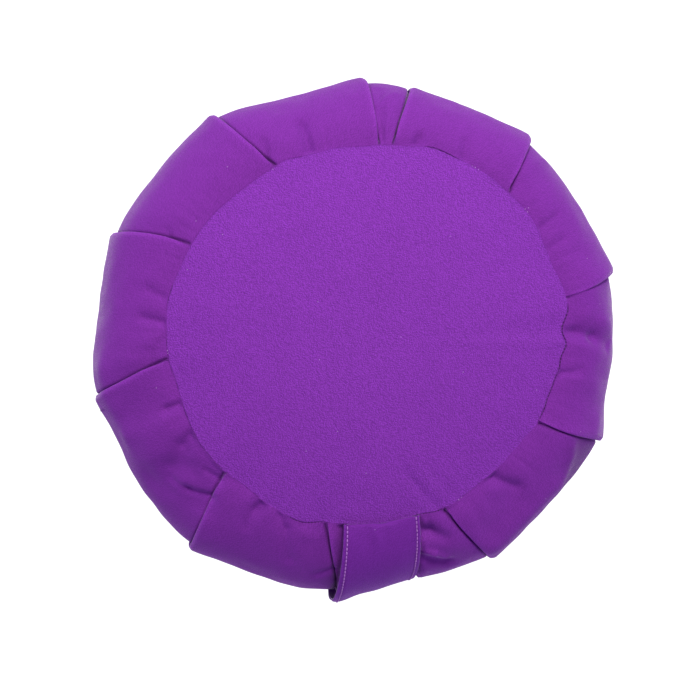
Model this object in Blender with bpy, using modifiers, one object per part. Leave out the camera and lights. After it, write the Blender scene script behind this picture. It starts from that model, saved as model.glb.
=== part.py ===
"""Round meditation cushion (zafu) with a pleated side band and a carry strap.

A crowned top panel and a flat bottom panel are sewn to a side band laid in knife pleats. A flat
strap runs down the side from the top seam to the bottom seam. Metres, +Z up: the cushion rests on
z = 0, the strap is at -Y, and the origin is the middle of the footprint. Angles are degrees about
the Z axis, counter-clockwise from +X, as seen from above.
"""

import math
from collections import namedtuple

import bpy
import mathutils
import numpy as np

NAME = "zafu_cushion"

# Side band, seen as a section from the top seam over the widest line to the bottom seam.
RIM_RADIUS = 0.173
RIM_HEIGHT = 0.062
TOP_SEAM_HEIGHT = 0.118
BOTTOM_SEAM_HEIGHT = 0.008
BOTTOM_SEAM_RADIUS = 0.127
SEAM_TUCK = 0.009

# Panels.
PANEL_THICKNESS = 0.002
TOP_CROWN = 0.017
CROWN_POWER = 2.5
REST_RADIUS = 0.104
BOTTOM_TURN_POWER = 1.7
PANEL_GAP = 0.0006

# Pleats: the folded edge lies over its neighbour, which runs on under it for PLEAT_DEPTH.
PLEAT_DEPTH = 0.008
PLEAT_SLIT = 0.0004
PLEAT_THICKNESS_AT_SEAM = 0.0012
PLEAT_THICKNESS_AT_RIM = 0.0022
PLEAT_NOSE = 0.0005
PLEAT_SEAM_STEP = 0.0003
PLEAT_SEAM_RUN = 0.13
CREASE_SEAM_RUN = 0.065
LAP_REACH = 0.030

# Strap.
STRAP_MIDDLE_DEG = 275.2
STRAP_WIDTH_AT_RIM = 0.054
STRAP_WIDTH_AT_SEAM = 0.049
STRAP_THICKNESS = 0.0022
STRAP_RIM_RADIUS = 0.1666
STRAP_TILT = -0.0062
STRAP_CUP = 0.0028
STRAP_SEAM_LIFT = 0.001
STRAP_SLACK = 0.0085
STRAP_SLACK_FROM = 0.50
STRAP_SLACK_TO = 0.97
STRAP_CLEARANCE = 0.0006
STRAP_HOLLOW_MARGIN = 1.20
STRAP_HOLLOW_SLOPE = 0.060

# Steps of the faceted surfaces.
SIDE_ROWS = 17
COLUMN_STEP = 0.0080
STRAP_SIDE_COLUMN_STEP = 0.0048
COLUMN_CROWDING = 0.35
STRAP_COLUMNS = 7
PANEL_COLUMN_STEP = 2
TOP_PANEL_RINGS = ((0.90, 60), (0.68, 44), (0.42, 28), (0.18, 12))
BOTTOM_PANEL_RINGS = ((0.92, 60), (REST_RADIUS / BOTTOM_SEAM_RADIUS, 60), (0.40, 14))
SHARP_FOLD_DEG = 50
DISC_TOLERANCE = 1e-6

# One row for each fold and the panel of cloth that runs from it counter-clockwise to the next fold.
# over is 1 where the cloth after the fold lies on top, and -1 where the cloth before it does.
# The seam columns are the top seam's radius at the fold and at the quarters of the way to the
# next. The last five are the radius at the widest line, from the fold to the end at the next.
Fold = namedtuple(
    "Fold",
    "name seam_deg rim_deg over seam_fold seam_quarter seam_middle seam_far tip near middle far end",
)
FOLDS = (
    Fold("east", 12.1, 15.4, 1, 0.1355, 0.1336, 0.1340, 0.1363, 0.1810, 0.1770, 0.1765, 0.1769, 0.1775),
    Fold("north_east", 45.6, 49.5, 1, 0.1350, 0.1341, 0.1330, 0.1309, 0.1818, 0.1776, 0.1748, 0.1735, 0.1748),
    Fold("box_right", 81.1, 77.6, -1, 0.1278, 0.1275, 0.1272, 0.1269, 0.1722, 0.1724, 0.1726, 0.1724, 0.1724),
    Fold("box_left", 85.2, 87.6, 1, 0.1266, 0.1253, 0.1257, 0.1259, 0.1766, 0.1722, 0.1690, 0.1724, 0.1750),
    Fold("north_west", 116.9, 122.6, 1, 0.1254, 0.1243, 0.1249, 0.1261, 0.1790, 0.1760, 0.1738, 0.1743, 0.1748),
    Fold("west_upper", 150.7, 156.3, 1, 0.1263, 0.1266, 0.1277, 0.1263, 0.1776, 0.1740, 0.1721, 0.1748, 0.1750),
    Fold("west_lower", 185.7, 192.2, 1, 0.1252, 0.1226, 0.1234, 0.1238, 0.1778, 0.1726, 0.1725, 0.1730, 0.1730),
    Fold("south_west", 223.9, 231.2, 1, 0.1220, 0.1205, 0.1219, 0.1233, 0.1770, 0.1715, 0.1682, 0.1683, 0.1660),
    Fold("strap_side", 258.8, 265.2, 1, 0.1195, 0.1192, 0.1199, 0.1181, 0.1686, 0.1655, 0.1640, 0.1668, 0.1692),
    Fold("south_east", 296.3, 301.6, 1, 0.1208, 0.1197, 0.1204, 0.1220, 0.1732, 0.1694, 0.1698, 0.1730, 0.1743),
    Fold("east_lower", 335.2, 337.9, 1, 0.1258, 0.1267, 0.1296, 0.1299, 0.1793, 0.1734, 0.1738, 0.1752, 0.1764),
)
WIDEST_LINE_STATIONS = (0.0, 0.2, 0.5, 0.8, 1.0)
STRAP_FOLD = "strap_side"

# Soft troughs (negative) and ridges (positive) in the side band. Each runs along the cloth from
# one place to another, given as an angle and a length down the cloth from the top seam.
Crease = namedtuple("Crease", "deg_from down_from deg_to down_to half_width depth")
CREASES = (
    Crease(103.8, 0.002, 103.0, 0.024, 0.0070, -0.0024),
    Crease(167.3, 0.001, 166.8, 0.022, 0.0075, -0.0026),
    Crease(174.5, 0.001, 173.5, 0.016, 0.0070, -0.0020),
    Crease(199.0, 0.003, 206.5, 0.004, 0.0065, -0.0018),
    Crease(208.5, 0.009, 209.0, 0.036, 0.0150, -0.0060),
    Crease(226.5, 0.014, 217.5, 0.031, 0.0060, -0.0020),
    Crease(223.0, 0.006, 214.0, 0.018, 0.0080, 0.0024),
    Crease(238.2, 0.001, 241.0, 0.014, 0.0065, -0.0022),
    Crease(244.0, 0.002, 248.0, 0.012, 0.0065, -0.0020),
    Crease(288.8, 0.010, 291.5, 0.017, 0.0075, -0.0034),
    Crease(285.5, 0.035, 292.0, 0.048, 0.0085, -0.0044),
    Crease(315.0, 0.003, 317.8, 0.018, 0.0075, -0.0028),
    Crease(333.0, 0.047, 322.5, 0.068, 0.0140, -0.0070),
    Crease(335.0, 0.022, 324.0, 0.048, 0.0080, 0.0022),
    Crease(3.0, 0.002, 1.3, 0.045, 0.0085, -0.0034),
    Crease(10.0, 0.006, 5.0, 0.040, 0.0070, 0.0016),
    Crease(351.5, 0.002, 352.5, 0.016, 0.0070, -0.0018),
    Crease(32.0, 0.002, 33.2, 0.016, 0.0070, -0.0024),
    Crease(26.6, 0.002, 26.8, 0.013, 0.0065, -0.0020),
    Crease(61.5, 0.003, 62.2, 0.014, 0.0065, -0.0018),
    Crease(74.5, 0.001, 75.0, 0.010, 0.0065, -0.0018),
    Crease(28.0, 0.164, 26.0, 0.138, 0.0090, -0.0030),
    Crease(68.0, 0.166, 66.0, 0.134, 0.0100, -0.0034),
    Crease(101.0, 0.164, 103.0, 0.140, 0.0085, -0.0028),
    Crease(132.0, 0.166, 131.0, 0.132, 0.0095, -0.0032),
    Crease(172.0, 0.166, 170.0, 0.126, 0.0100, -0.0036),
    Crease(204.0, 0.166, 206.0, 0.136, 0.0090, -0.0030),
    Crease(249.0, 0.168, 246.0, 0.134, 0.0095, -0.0032),
    Crease(318.0, 0.168, 320.0, 0.130, 0.0100, -0.0036),
    Crease(352.0, 0.164, 350.0, 0.136, 0.0090, -0.0030),
)

SIDE_COLOUR = (0.246, 0.041, 0.429, 1.0)
TOP_COLOUR = (0.250, 0.042, 0.435, 1.0)
BOTTOM_COLOUR = (0.225, 0.036, 0.395, 1.0)
STRAP_COLOUR = (0.205, 0.031, 0.365, 1.0)
CLOTH_ROUGHNESS = 0.9


def through_points(x, knots, values):
    """Cubic curve through the knots, whose slope at each knot is that of the line joining its neighbours."""
    knots = np.asarray(knots, float)
    values = np.asarray(values, float)
    slopes = np.gradient(values, knots)
    cell = np.clip(np.searchsorted(knots, x, side="right") - 1, 0, len(knots) - 2)
    width = knots[cell + 1] - knots[cell]
    t = np.clip((x - knots[cell]) / width, 0.0, 1.0)
    rise = values[cell + 1] - values[cell]
    start = slopes[cell] * width
    finish = slopes[cell + 1] * width
    return values[cell] + t * (start + t * (3 * rise - 2 * start - finish + t * (start + finish - 2 * rise)))


def top_seam_radius(degrees):
    """Radius of the top seam at an angle, a closed cubic curve through the seam columns of FOLDS."""
    knots = []
    values = []
    for this, following in fold_pairs():
        span = turn(following.seam_deg - this.seam_deg)
        quarters = (this.seam_fold, this.seam_quarter, this.seam_middle, this.seam_far)
        knots += [this.seam_deg + span * quarter / 4 for quarter in range(4)]
        values += quarters
    laps = np.concatenate([np.array(knots) + lap for lap in (-360, 0, 360)])
    return through_points((np.asarray(degrees, float) - knots[0]) % 360 + knots[0], laps, values * 3)


def fold_pairs():
    """Each fold with the one that follows it counter-clockwise."""
    return list(zip(FOLDS, FOLDS[1:] + FOLDS[:1]))


def turn(degrees):
    """An angle from one fold to the next, between 0 and 360."""
    return degrees % 360


def side_section(degrees, v):
    """Plain section of the side at an angle: half an ellipse, v = 0 at the top seam and 1 at the bottom.

    Returns the radius, the height, the radial and vertical parts of the way out of the cloth, which
    never leans inward over a seam, and how far the radius has come from the seam (0) to the rim (1).
    """
    seam_top = top_seam_radius(degrees)
    depth_top = RIM_RADIUS - seam_top - SEAM_TUCK
    depth_bottom = RIM_RADIUS - BOTTOM_SEAM_RADIUS - SEAM_TUCK
    turn_top = np.arccos(-SEAM_TUCK / depth_top)
    turn_bottom = -math.acos(-SEAM_TUCK / depth_bottom)
    rise_top = (TOP_SEAM_HEIGHT - RIM_HEIGHT) / np.sin(turn_top)
    rise_bottom = (BOTTOM_SEAM_HEIGHT - RIM_HEIGHT) / math.sin(turn_bottom)
    angle = turn_top + (turn_bottom - turn_top) * v
    upper = angle > 0
    depth = np.where(upper, depth_top, depth_bottom)
    rise = np.where(upper, rise_top, rise_bottom)
    seam = np.where(upper, seam_top, BOTTOM_SEAM_RADIUS)
    radius = RIM_RADIUS - depth + depth * np.cos(angle)
    height = RIM_HEIGHT + rise * np.sin(angle)
    across = rise * np.cos(angle)
    upward = depth * np.sin(angle)
    length = np.hypot(across, upward)
    out = np.clip((radius - seam) / (RIM_RADIUS - seam), 0.0, 1.0)
    return radius, height, np.maximum(across / length, 0.0), upward / length, out


def fullness(v):
    """How fully a shape of the widest line shows at v: 0 at both seams and 1 half-way."""
    return np.sin(np.pi * np.clip(v, 0.0, 1.0))


def seam_run(v, run):
    """0 at either seam, rising smoothly to 1 at a distance run in v from it."""
    t = np.clip(np.minimum(v, 1.0 - v) / run, 0.0, 1.0)
    return t * t * (3 - 2 * t)


def fold_angle(fold, v):
    """Angle of a fold's edge at v: it leans from its place in the seam to its place at the widest line."""
    out = side_section(fold.seam_deg, v)[4]
    lean = (fold.rim_deg - fold.seam_deg + 180) % 360 - 180
    return fold.seam_deg + lean * out


def strap_half_angle(v):
    """Half the strap's width as an angle, in degrees."""
    width = STRAP_WIDTH_AT_SEAM + (STRAP_WIDTH_AT_RIM - STRAP_WIDTH_AT_SEAM) * fullness(v)
    radius = side_section(STRAP_MIDDLE_DEG, v)[0]
    return np.degrees(np.arcsin(width / 2 / radius))


def strap_stand(across, v):
    """Height of the strap's inner face over the plain section, without its slack.

    At the widest line it is a parabola in across (-1 to 1 from edge to edge), higher at the first edge.
    """
    rim = STRAP_RIM_RADIUS + STRAP_TILT * across + STRAP_CUP * across**2 - STRAP_THICKNESS - RIM_RADIUS
    full = fullness(v)
    return full * rim + (1 - full) * STRAP_SEAM_LIFT


def strap_slack(v):
    """How far the strap hangs off the side below the widest line."""
    t = np.clip((v - STRAP_SLACK_FROM) / (STRAP_SLACK_TO - STRAP_SLACK_FROM), 0.0, 1.0)
    return STRAP_SLACK * np.sin(np.pi * t) ** 2


def strap_limit(degrees, v):
    """The highest that the side may stand under the strap, free to rise again beyond its edges."""
    across = ((degrees - STRAP_MIDDLE_DEG + 180) % 360 - 180) / strap_half_angle(v)
    beyond = np.maximum(np.abs(across) - STRAP_HOLLOW_MARGIN, 0.0)
    return strap_stand(np.clip(across, -1.0, 1.0), v) - STRAP_CLEARANCE + STRAP_HOLLOW_SLOPE * beyond


def crease_height(degrees, down):
    """Sum of the creases: each falls off as a bell curve with the distance from its own line."""
    total = np.zeros(np.broadcast(degrees, down).shape)
    for crease in CREASES:
        x = np.radians((degrees - crease.deg_from + 180) % 360 - 180) * RIM_RADIUS
        y = down - crease.down_from
        run_x = math.radians(crease.deg_to - crease.deg_from) * RIM_RADIUS
        run_y = crease.down_to - crease.down_from
        along = np.clip((x * run_x + y * run_y) / (run_x**2 + run_y**2), 0.0, 1.0)
        apart = np.hypot(x - along * run_x, y - along * run_y)
        total += crease.depth * np.exp(-((apart / crease.half_width) ** 2))
    return total


def cloth_height(this, following, s, v, degrees):
    """Height over the plain section of the cloth between two folds, at s from 0 to 1 of the way across.

    It follows the widest line's radii, lies a pleat's thickness up where it was folded over its
    neighbour at the seams, and is pressed in under the strap.
    """
    full = fullness(v)
    radii = (this.tip, this.near, this.middle, this.far, this.end)
    widest = through_points(s, WIDEST_LINE_STATIONS, radii) - RIM_RADIUS
    span = math.radians(turn(following.seam_deg - this.seam_deg)) * this.seam_fold
    lap = PLEAT_THICKNESS_AT_SEAM + PLEAT_SLIT
    folded = np.zeros_like(s)
    if this.over == 1:
        folded = folded + np.exp(-((s * span / LAP_REACH) ** 2))
    if following.over == -1:
        folded = folded + np.exp(-(((1 - s) * span / LAP_REACH) ** 2))
    return full * widest + (1 - full) * lap * folded


def side_columns():
    """The columns of the side, counter-clockwise: pairs of folds, s, a sideways step and a drop for each.

    A column's step is given at the seams and away from them. Its drop is counted in pleat
    thicknesses below the cloth's face, and slit marks the upper wall of the slit under a pleat.
    """
    Column = namedtuple("Column", "pair s seam_step open_step drop slit")
    columns = []
    step = PLEAT_SEAM_STEP
    for pair, (this, following) in enumerate(fold_pairs()):
        if this.over == 1:
            columns.append(Column(pair, 0.0, -step / 2, 0.0, 1.0, 0.0))
            columns.append(Column(pair, 0.0, 0.0, -PLEAT_NOSE, 0.5, 0.0))
            columns.append(Column(pair, 0.0, step, 0.0, 0.0, 0.0))
        else:
            columns.append(Column(pair, 0.0, step, -PLEAT_DEPTH, 0.0, PLEAT_SLIT))
            columns.append(Column(pair, 0.0, 2 * step, -PLEAT_DEPTH, 0.0, 0.0))
            columns.append(Column(pair, 0.0, 3 * step, 0.0, 0.0, 0.0))
        spacing = STRAP_SIDE_COLUMN_STEP if this.name == STRAP_FOLD else COLUMN_STEP
        arc = math.radians(turn(following.rim_deg - this.rim_deg)) * RIM_RADIUS
        inner = max(2, round(arc / spacing))
        for index in range(1, inner):
            even = index / inner
            crowded = (1 - math.cos(math.pi * even)) / 2
            s = even + COLUMN_CROWDING * (crowded - even)
            columns.append(Column(pair, s, 0.0, 0.0, 0.0, 0.0))
        if following.over == 1:
            columns.append(Column(pair, 1.0, -3 * step, 0.0, 0.0, 0.0))
            columns.append(Column(pair, 1.0, -2 * step, PLEAT_DEPTH, 0.0, 0.0))
            columns.append(Column(pair, 1.0, -step, PLEAT_DEPTH, 0.0, PLEAT_SLIT))
        else:
            columns.append(Column(pair, 1.0, -step, 0.0, 0.0, 0.0))
            columns.append(Column(pair, 1.0, 0.0, PLEAT_NOSE, 0.5, 0.0))
            columns.append(Column(pair, 1.0, step / 2, 0.0, 1.0, 0.0))
    return columns


def place(radius, degrees, height):
    """Points from a radius, an angle and a height, along a last axis of three."""
    radians = np.radians(degrees)
    spread = np.broadcast_arrays(radius * np.cos(radians), radius * np.sin(radians), height)
    return np.stack(spread, axis=-1)


def side_points(columns, rows):
    """The side's grid: the plain section, moved along its normal by the cloth's height."""
    v = np.asarray(rows)[:, None]
    grid = np.zeros((len(rows), len(columns), 3))
    for pair, (this, following) in enumerate(fold_pairs()):
        picked = [index for index, column in enumerate(columns) if column.pair == pair]
        own = [columns[index] for index in picked]
        s = np.array([column.s for column in own])[None, :]
        seam_step = np.array([column.seam_step for column in own])[None, :]
        open_step = np.array([column.open_step for column in own])[None, :]
        drop = np.array([column.drop for column in own])[None, :]
        slit = np.array([column.slit for column in own])[None, :]
        start = fold_angle(this, v)
        finish = start + turn(fold_angle(following, v) - start)
        surface_deg = start + s * (finish - start)
        run = seam_run(v, PLEAT_SEAM_RUN)
        sideways = seam_step * (1 - run) + open_step * run
        degrees = surface_deg + np.degrees(sideways / side_section(surface_deg, v)[0])
        radius, height, across, upward, _ = side_section(degrees, v)
        steps = np.hypot(np.diff(radius, axis=0), np.diff(height, axis=0))
        down = np.vstack([np.zeros((1, radius.shape[1])), np.cumsum(steps, axis=0)])
        full = fullness(v)
        thickness = PLEAT_THICKNESS_AT_SEAM + (PLEAT_THICKNESS_AT_RIM - PLEAT_THICKNESS_AT_SEAM) * full
        stand = cloth_height(this, following, s, v, degrees) - drop * thickness + slit
        stand = stand + seam_run(v, CREASE_SEAM_RUN) * crease_height(degrees, down)
        stand = np.minimum(stand, strap_limit(degrees, v) - drop * thickness)
        grid[:, picked] = place(radius + stand * across, degrees, height + stand * upward)
    return grid


def top_panel_height(share):
    """Height of the top panel's face at a share of the way out to the seam: a crown that steepens outward."""
    return TOP_SEAM_HEIGHT + TOP_CROWN * (1 - share**CROWN_POWER)


def bottom_panel_height(share):
    """Height of the bottom panel's face: flat on the floor, turning up to the seam."""
    start = REST_RADIUS / BOTTOM_SEAM_RADIUS
    t = np.clip((share - start) / (1 - start), 0.0, 1.0)
    return BOTTOM_SEAM_HEIGHT * t**BOTTOM_TURN_POWER


def panel_points(rings, seam_radius, face_height, raise_by):
    """The points inside a panel's edge: rings evenly spaced round the axis, and the middle point."""
    points = []
    for share, count in rings:
        degrees = np.arange(count) * 360 / count
        points.append(place(seam_radius(degrees) * share, degrees, face_height(share) + raise_by))
    points.append(np.array([[0.0, 0.0, face_height(0.0) + raise_by]]))
    return np.vstack(points)


def bottom_seam_radius(degrees):
    """The bottom seam is a plain circle."""
    return np.full(np.shape(degrees), BOTTOM_SEAM_RADIUS)


def grid_faces(rows, columns, closed):
    """Quads between the rows of a grid that run down and counter-clockwise, so that they face out."""
    faces = []
    for row in range(rows - 1):
        for column in range(columns if closed else columns - 1):
            after = (column + 1) % columns
            upper = row * columns
            lower = upper + columns
            faces.append((upper + column, lower + column, lower + after, upper + after))
    return faces


def disc_faces(rim, inside, rim_numbers, inside_numbers, faces_up):
    """Triangles over the points inside a closed rim, seen from above, joining points by their numbers."""
    flat = [mathutils.Vector((x, y)) for x, y, _ in np.vstack([rim, inside])]
    edges = [(index, (index + 1) % len(rim)) for index in range(len(rim))]
    made = mathutils.geometry.delaunay_2d_cdt(flat, edges, [], 1, DISC_TOLERANCE)
    triangles = made[2]
    origins = made[3]
    numbers = list(rim_numbers) + list(inside_numbers)
    named = [tuple(numbers[origins[corner][0]] for corner in triangle) for triangle in triangles]
    return named if faces_up else [triangle[::-1] for triangle in named]


def make_object(name, points, faces, colour, collection):
    """Makes the Blender object, smooth but for its sharp folds, in its own matt cloth material."""
    mesh = bpy.data.meshes.new(name)
    mesh.from_pydata([tuple(point) for point in points], [], faces)
    mesh.shade_smooth()
    mesh.set_sharp_from_angle(angle=math.radians(SHARP_FOLD_DEG))
    material = bpy.data.materials.new(name)
    material.use_nodes = True
    shader = material.node_tree.nodes["Principled BSDF"]
    shader.inputs["Base Color"].default_value = colour
    shader.inputs["Roughness"].default_value = CLOTH_ROUGHNESS
    shader.inputs["Metallic"].default_value = 0.0
    mesh.materials.append(material)
    made = bpy.data.objects.new(name, mesh)
    collection.objects.link(made)
    return made


def thicken(sheet, thickness, side):
    """Gives an open sheet its thickness, behind its face (side -1) or in front of it (side 1)."""
    solidify = sheet.modifiers.new("thickness", "SOLIDIFY")
    solidify.thickness = thickness
    solidify.offset = side
    solidify.use_even_offset = True


def make_filled_body(collection):
    """The filled cushion inside its pleated side band, with a shallow bed for each panel."""
    side = side_points(side_columns(), np.linspace(0.0, 1.0, SIDE_ROWS))
    sink = PANEL_THICKNESS + PANEL_GAP
    top_rim = side[0].copy()
    top_rim[:, 2] = top_panel_height(1.0) - sink
    bottom_rim = side[-1].copy()
    bottom_rim[:, 2] = bottom_panel_height(1.0) + sink
    top = panel_points(TOP_PANEL_RINGS, top_seam_radius, top_panel_height, -sink)
    bottom = panel_points(BOTTOM_PANEL_RINGS, bottom_seam_radius, bottom_panel_height, sink)
    rows = SIDE_ROWS + 2
    columns = side.shape[1]
    top_first = rows * columns
    bottom_first = top_first + len(top)
    top_numbers = range(top_first, bottom_first)
    bottom_numbers = range(bottom_first, bottom_first + len(bottom))
    last_row = range((rows - 1) * columns, top_first)
    faces = grid_faces(rows, columns, True)
    faces += disc_faces(top_rim, top, range(columns), top_numbers, True)
    faces += disc_faces(bottom_rim, bottom, last_row, bottom_numbers, False)
    points = np.vstack([top_rim, side.reshape(-1, 3), bottom_rim, top, bottom])
    make_object("filled_side_body", points, faces, SIDE_COLOUR, collection)


def panel_edge_angles():
    """Angles of the points along a panel's edge: those of the side's columns, but for the pleats' own."""
    pairs = fold_pairs()
    angles = []
    for column in side_columns():
        if column.drop == 0.0 and column.slit == 0.0:
            this, following = pairs[column.pair]
            angles.append(this.seam_deg + column.s * turn(following.seam_deg - this.seam_deg))
    return np.unique(np.round(np.array(angles[::PANEL_COLUMN_STEP]) % 360, 3))


def make_panel(name, rings, seam_radius, face_height, faces_up, colour, collection):
    """A thin round panel: its outer face, with its thickness behind it."""
    degrees = panel_edge_angles()
    edge = 1 - PANEL_GAP / BOTTOM_SEAM_RADIUS
    rim = place(seam_radius(degrees) * edge, degrees, face_height(edge))
    inside = panel_points(rings, seam_radius, face_height, 0.0)
    inside_numbers = range(len(rim), len(rim) + len(inside))
    faces = disc_faces(rim, inside, range(len(rim)), inside_numbers, faces_up)
    panel = make_object(name, np.vstack([rim, inside]), faces, colour, collection)
    thicken(panel, PANEL_THICKNESS, -1)


def make_strap(collection):
    """The carry strap: a flat band from seam to seam, hanging a little slack below the widest line."""
    v = np.linspace(0.0, 1.0, SIDE_ROWS)[:, None]
    across = np.linspace(-1.0, 1.0, STRAP_COLUMNS)[None, :]
    degrees = STRAP_MIDDLE_DEG + across * strap_half_angle(v)
    radius, height, sideways, upward, _ = side_section(degrees, v)
    stand = strap_stand(across, v) + strap_slack(v)
    points = place(radius + stand * sideways, degrees, height + stand * upward).reshape(-1, 3)
    faces = grid_faces(SIDE_ROWS, STRAP_COLUMNS, False)
    strap = make_object("carry_strap", points, faces, STRAP_COLOUR, collection)
    thicken(strap, STRAP_THICKNESS, 1)


for old in list(bpy.data.objects):
    bpy.data.objects.remove(old, do_unlink=True)
cushion = bpy.data.collections.new(NAME)
bpy.context.scene.collection.children.link(cushion)
make_filled_body(cushion)
make_panel("top_panel", TOP_PANEL_RINGS, top_seam_radius, top_panel_height, True, TOP_COLOUR, cushion)
make_panel(
    "bottom_panel", BOTTOM_PANEL_RINGS, bottom_seam_radius, bottom_panel_height, False, BOTTOM_COLOUR, cushion
)
make_strap(cushion)
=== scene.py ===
"""Looks of a round pleated meditation cushion: purple cotton twill, seams, stitches and strap.

Metres, +Z up, in the frame's own axes: the cushion rests on z = 0 and its strap is at -Y. Angles
are degrees about the Z axis, counter-clockwise from +X, as seen from above. A surface is a grid of
points, rings by columns, so the arrays below run over (rings, columns) and a last axis of x, y, z.
"""
import math
from collections import namedtuple
from functools import partial

import bpy
import numpy as np
from mathutils import Matrix


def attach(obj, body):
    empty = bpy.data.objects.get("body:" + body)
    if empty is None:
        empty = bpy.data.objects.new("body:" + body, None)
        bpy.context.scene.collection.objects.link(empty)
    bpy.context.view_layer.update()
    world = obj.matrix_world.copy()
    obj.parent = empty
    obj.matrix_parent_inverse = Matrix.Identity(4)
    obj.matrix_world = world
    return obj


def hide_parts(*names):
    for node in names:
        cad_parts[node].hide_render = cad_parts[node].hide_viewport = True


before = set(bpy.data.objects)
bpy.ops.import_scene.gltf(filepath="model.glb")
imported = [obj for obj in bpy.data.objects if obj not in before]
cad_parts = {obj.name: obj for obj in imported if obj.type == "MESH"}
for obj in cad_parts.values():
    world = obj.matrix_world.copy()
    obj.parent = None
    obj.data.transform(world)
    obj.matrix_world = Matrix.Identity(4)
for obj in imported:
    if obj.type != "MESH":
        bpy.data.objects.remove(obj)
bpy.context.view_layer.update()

# The studio: a white floor that glows, but not under the cushion, a large soft light beyond the
# photo's top edge, a faint one low on the right, and a dim room with pale walls. The camera looks
# down from nearly straight above, CAMERA_LEAN_DEG to the left.
CAMERA_LEAN_DEG = 5.0
CAMERA_DISTANCE = 1.5
CAMERA_TARGET = (-0.00334, -0.006035, 0.061708)
SENSOR_WIDTH_MM = 36.0
RIM_WIDTH_IN_PHOTO = 522 / 700
RIM_WIDTH = 0.350
SoftLight = namedtuple("SoftLight", "name rise_deg turn_deg watts colour")
SOFT_LIGHTS = (
    SoftLight("key_light", 61.5, 91.0, 65.5, (0.93, 1.0, 0.83)),
    SoftLight("fill_light", 10.0, 345.0, 5.5, (1.0, 0.97, 1.0)),
)
LIGHT_DISTANCE = 2.6
LIGHT_WIDTH = 1.0
ROOM_COLOUR = (0.62, 0.38, 1.0, 1.0)
ROOM_WALL_TOP = 0.45
ROOM_WALL_GLOW = 0.95
ROOM_CEILING_GLOW = 0.12
FLOOR_HALF_WIDTH = 3.0
FLOOR_COLOUR = (0.16, 0.16, 0.16, 1.0)
FLOOR_GLOW = 1.12
GLOW_STARTS_AT = 0.150
GLOW_IS_FULL_AT = 0.171

lean = math.radians(CAMERA_LEAN_DEG)
camera_axes = Matrix((
    (math.cos(lean), 0.0, -math.sin(lean)),
    (0.0, 1.0, 0.0),
    (math.sin(lean), 0.0, math.cos(lean)),
))
camera_data = bpy.data.cameras.new("camera")
camera_data.sensor_width = SENSOR_WIDTH_MM
camera_data.lens = SENSOR_WIDTH_MM * RIM_WIDTH_IN_PHOTO * CAMERA_DISTANCE / RIM_WIDTH
camera = bpy.data.objects.new("camera", camera_data)
camera.matrix_world = camera_axes.to_4x4()
camera.location = [
    CAMERA_TARGET[axis] + CAMERA_DISTANCE * camera_axes[axis][2] for axis in range(3)
]
bpy.context.scene.collection.objects.link(camera)
bpy.context.scene.camera = camera

for row in SOFT_LIGHTS:
    light_data = bpy.data.lights.new(row.name, "AREA")
    light_data.color = row.colour
    light_data.shape = "SQUARE"
    light_data.size = LIGHT_WIDTH
    light_data.energy = row.watts
    light = bpy.data.objects.new(row.name, light_data)
    rise, turn = math.radians(row.rise_deg), math.radians(row.turn_deg)
    way = (math.cos(rise) * math.cos(turn), math.cos(rise) * math.sin(turn), math.sin(rise))
    light.location = [LIGHT_DISTANCE * part for part in way]
    light.rotation_euler = light.location.to_track_quat("Z", "Y").to_euler()
    bpy.context.scene.collection.objects.link(light)


def plug(node, inputs):
    """Sets inputs of a shader node, each to a plain value or to what another node puts out."""
    for key, value in inputs.items():
        if isinstance(value, bpy.types.NodeSocket):
            node.id_data.links.new(value, node.inputs[key])
        else:
            node.inputs[key].default_value = value
    return node


def add_node(tree, kind, inputs, **settings):
    """A new shader node with its settings and its inputs."""
    node = tree.nodes.new("ShaderNode" + kind)
    for key, value in settings.items():
        setattr(node, key, value)
    return plug(node, inputs)


def new_material(name):
    """A new material, its node tree and its Principled shader."""
    material = bpy.data.materials.new(name)
    material.use_nodes = True
    return material, material.node_tree, material.node_tree.nodes["Principled BSDF"]


def new_piece(name, points, faces, facts=None):
    """A smooth mesh object of points and faces. facts are named values a point, for materials."""
    mesh = bpy.data.meshes.new(name)
    mesh.from_pydata(points.tolist(), [], faces)
    for key, values in (facts or {}).items():
        layer = mesh.attributes.new(key, "FLOAT", "POINT")
        layer.data.foreach_set("value", values.astype(np.float32))
    mesh.shade_smooth()
    made = bpy.data.objects.new(name, mesh)
    bpy.context.scene.collection.objects.link(made)
    return made


room = bpy.data.worlds.new("room")
room.use_nodes = True
room_place = add_node(room.node_tree, "TexCoord", {}).outputs["Generated"]
room_parts = add_node(room.node_tree, "SeparateXYZ", {0: room_place})
room_glow = add_node(room.node_tree, "MapRange", {
    "Value": room_parts.outputs["Z"],
    "From Max": ROOM_WALL_TOP, "To Min": ROOM_WALL_GLOW, "To Max": ROOM_CEILING_GLOW,
})
plug(room.node_tree.nodes["Background"], {
    "Color": ROOM_COLOUR, "Strength": room_glow.outputs["Result"],
})
bpy.context.scene.world = room
bpy.context.scene.view_settings.view_transform = "Standard"

floor_material, floor_tree, floor_shader = new_material("pale_floor")
floor_place = add_node(floor_tree, "TexCoord", {}).outputs["Object"]
floor_reach = add_node(floor_tree, "VectorMath", {0: floor_place}, operation="LENGTH")
floor_glow = add_node(floor_tree, "MapRange", {
    "Value": floor_reach.outputs["Value"],
    "From Min": GLOW_STARTS_AT, "From Max": GLOW_IS_FULL_AT,
})
plug(floor_shader, {
    "Base Color": FLOOR_COLOUR, "Roughness": 0.9,
    "Emission Strength": FLOOR_GLOW, "Emission Color": floor_glow.outputs["Result"],
})
floor_corners = FLOOR_HALF_WIDTH * np.array([(-1, -1, 0), (1, -1, 0), (1, 1, 0), (-1, 1, 0)])
floor = new_piece("floor", floor_corners, [(0, 1, 2, 3)])
floor.data.materials.append(floor_material)

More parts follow.
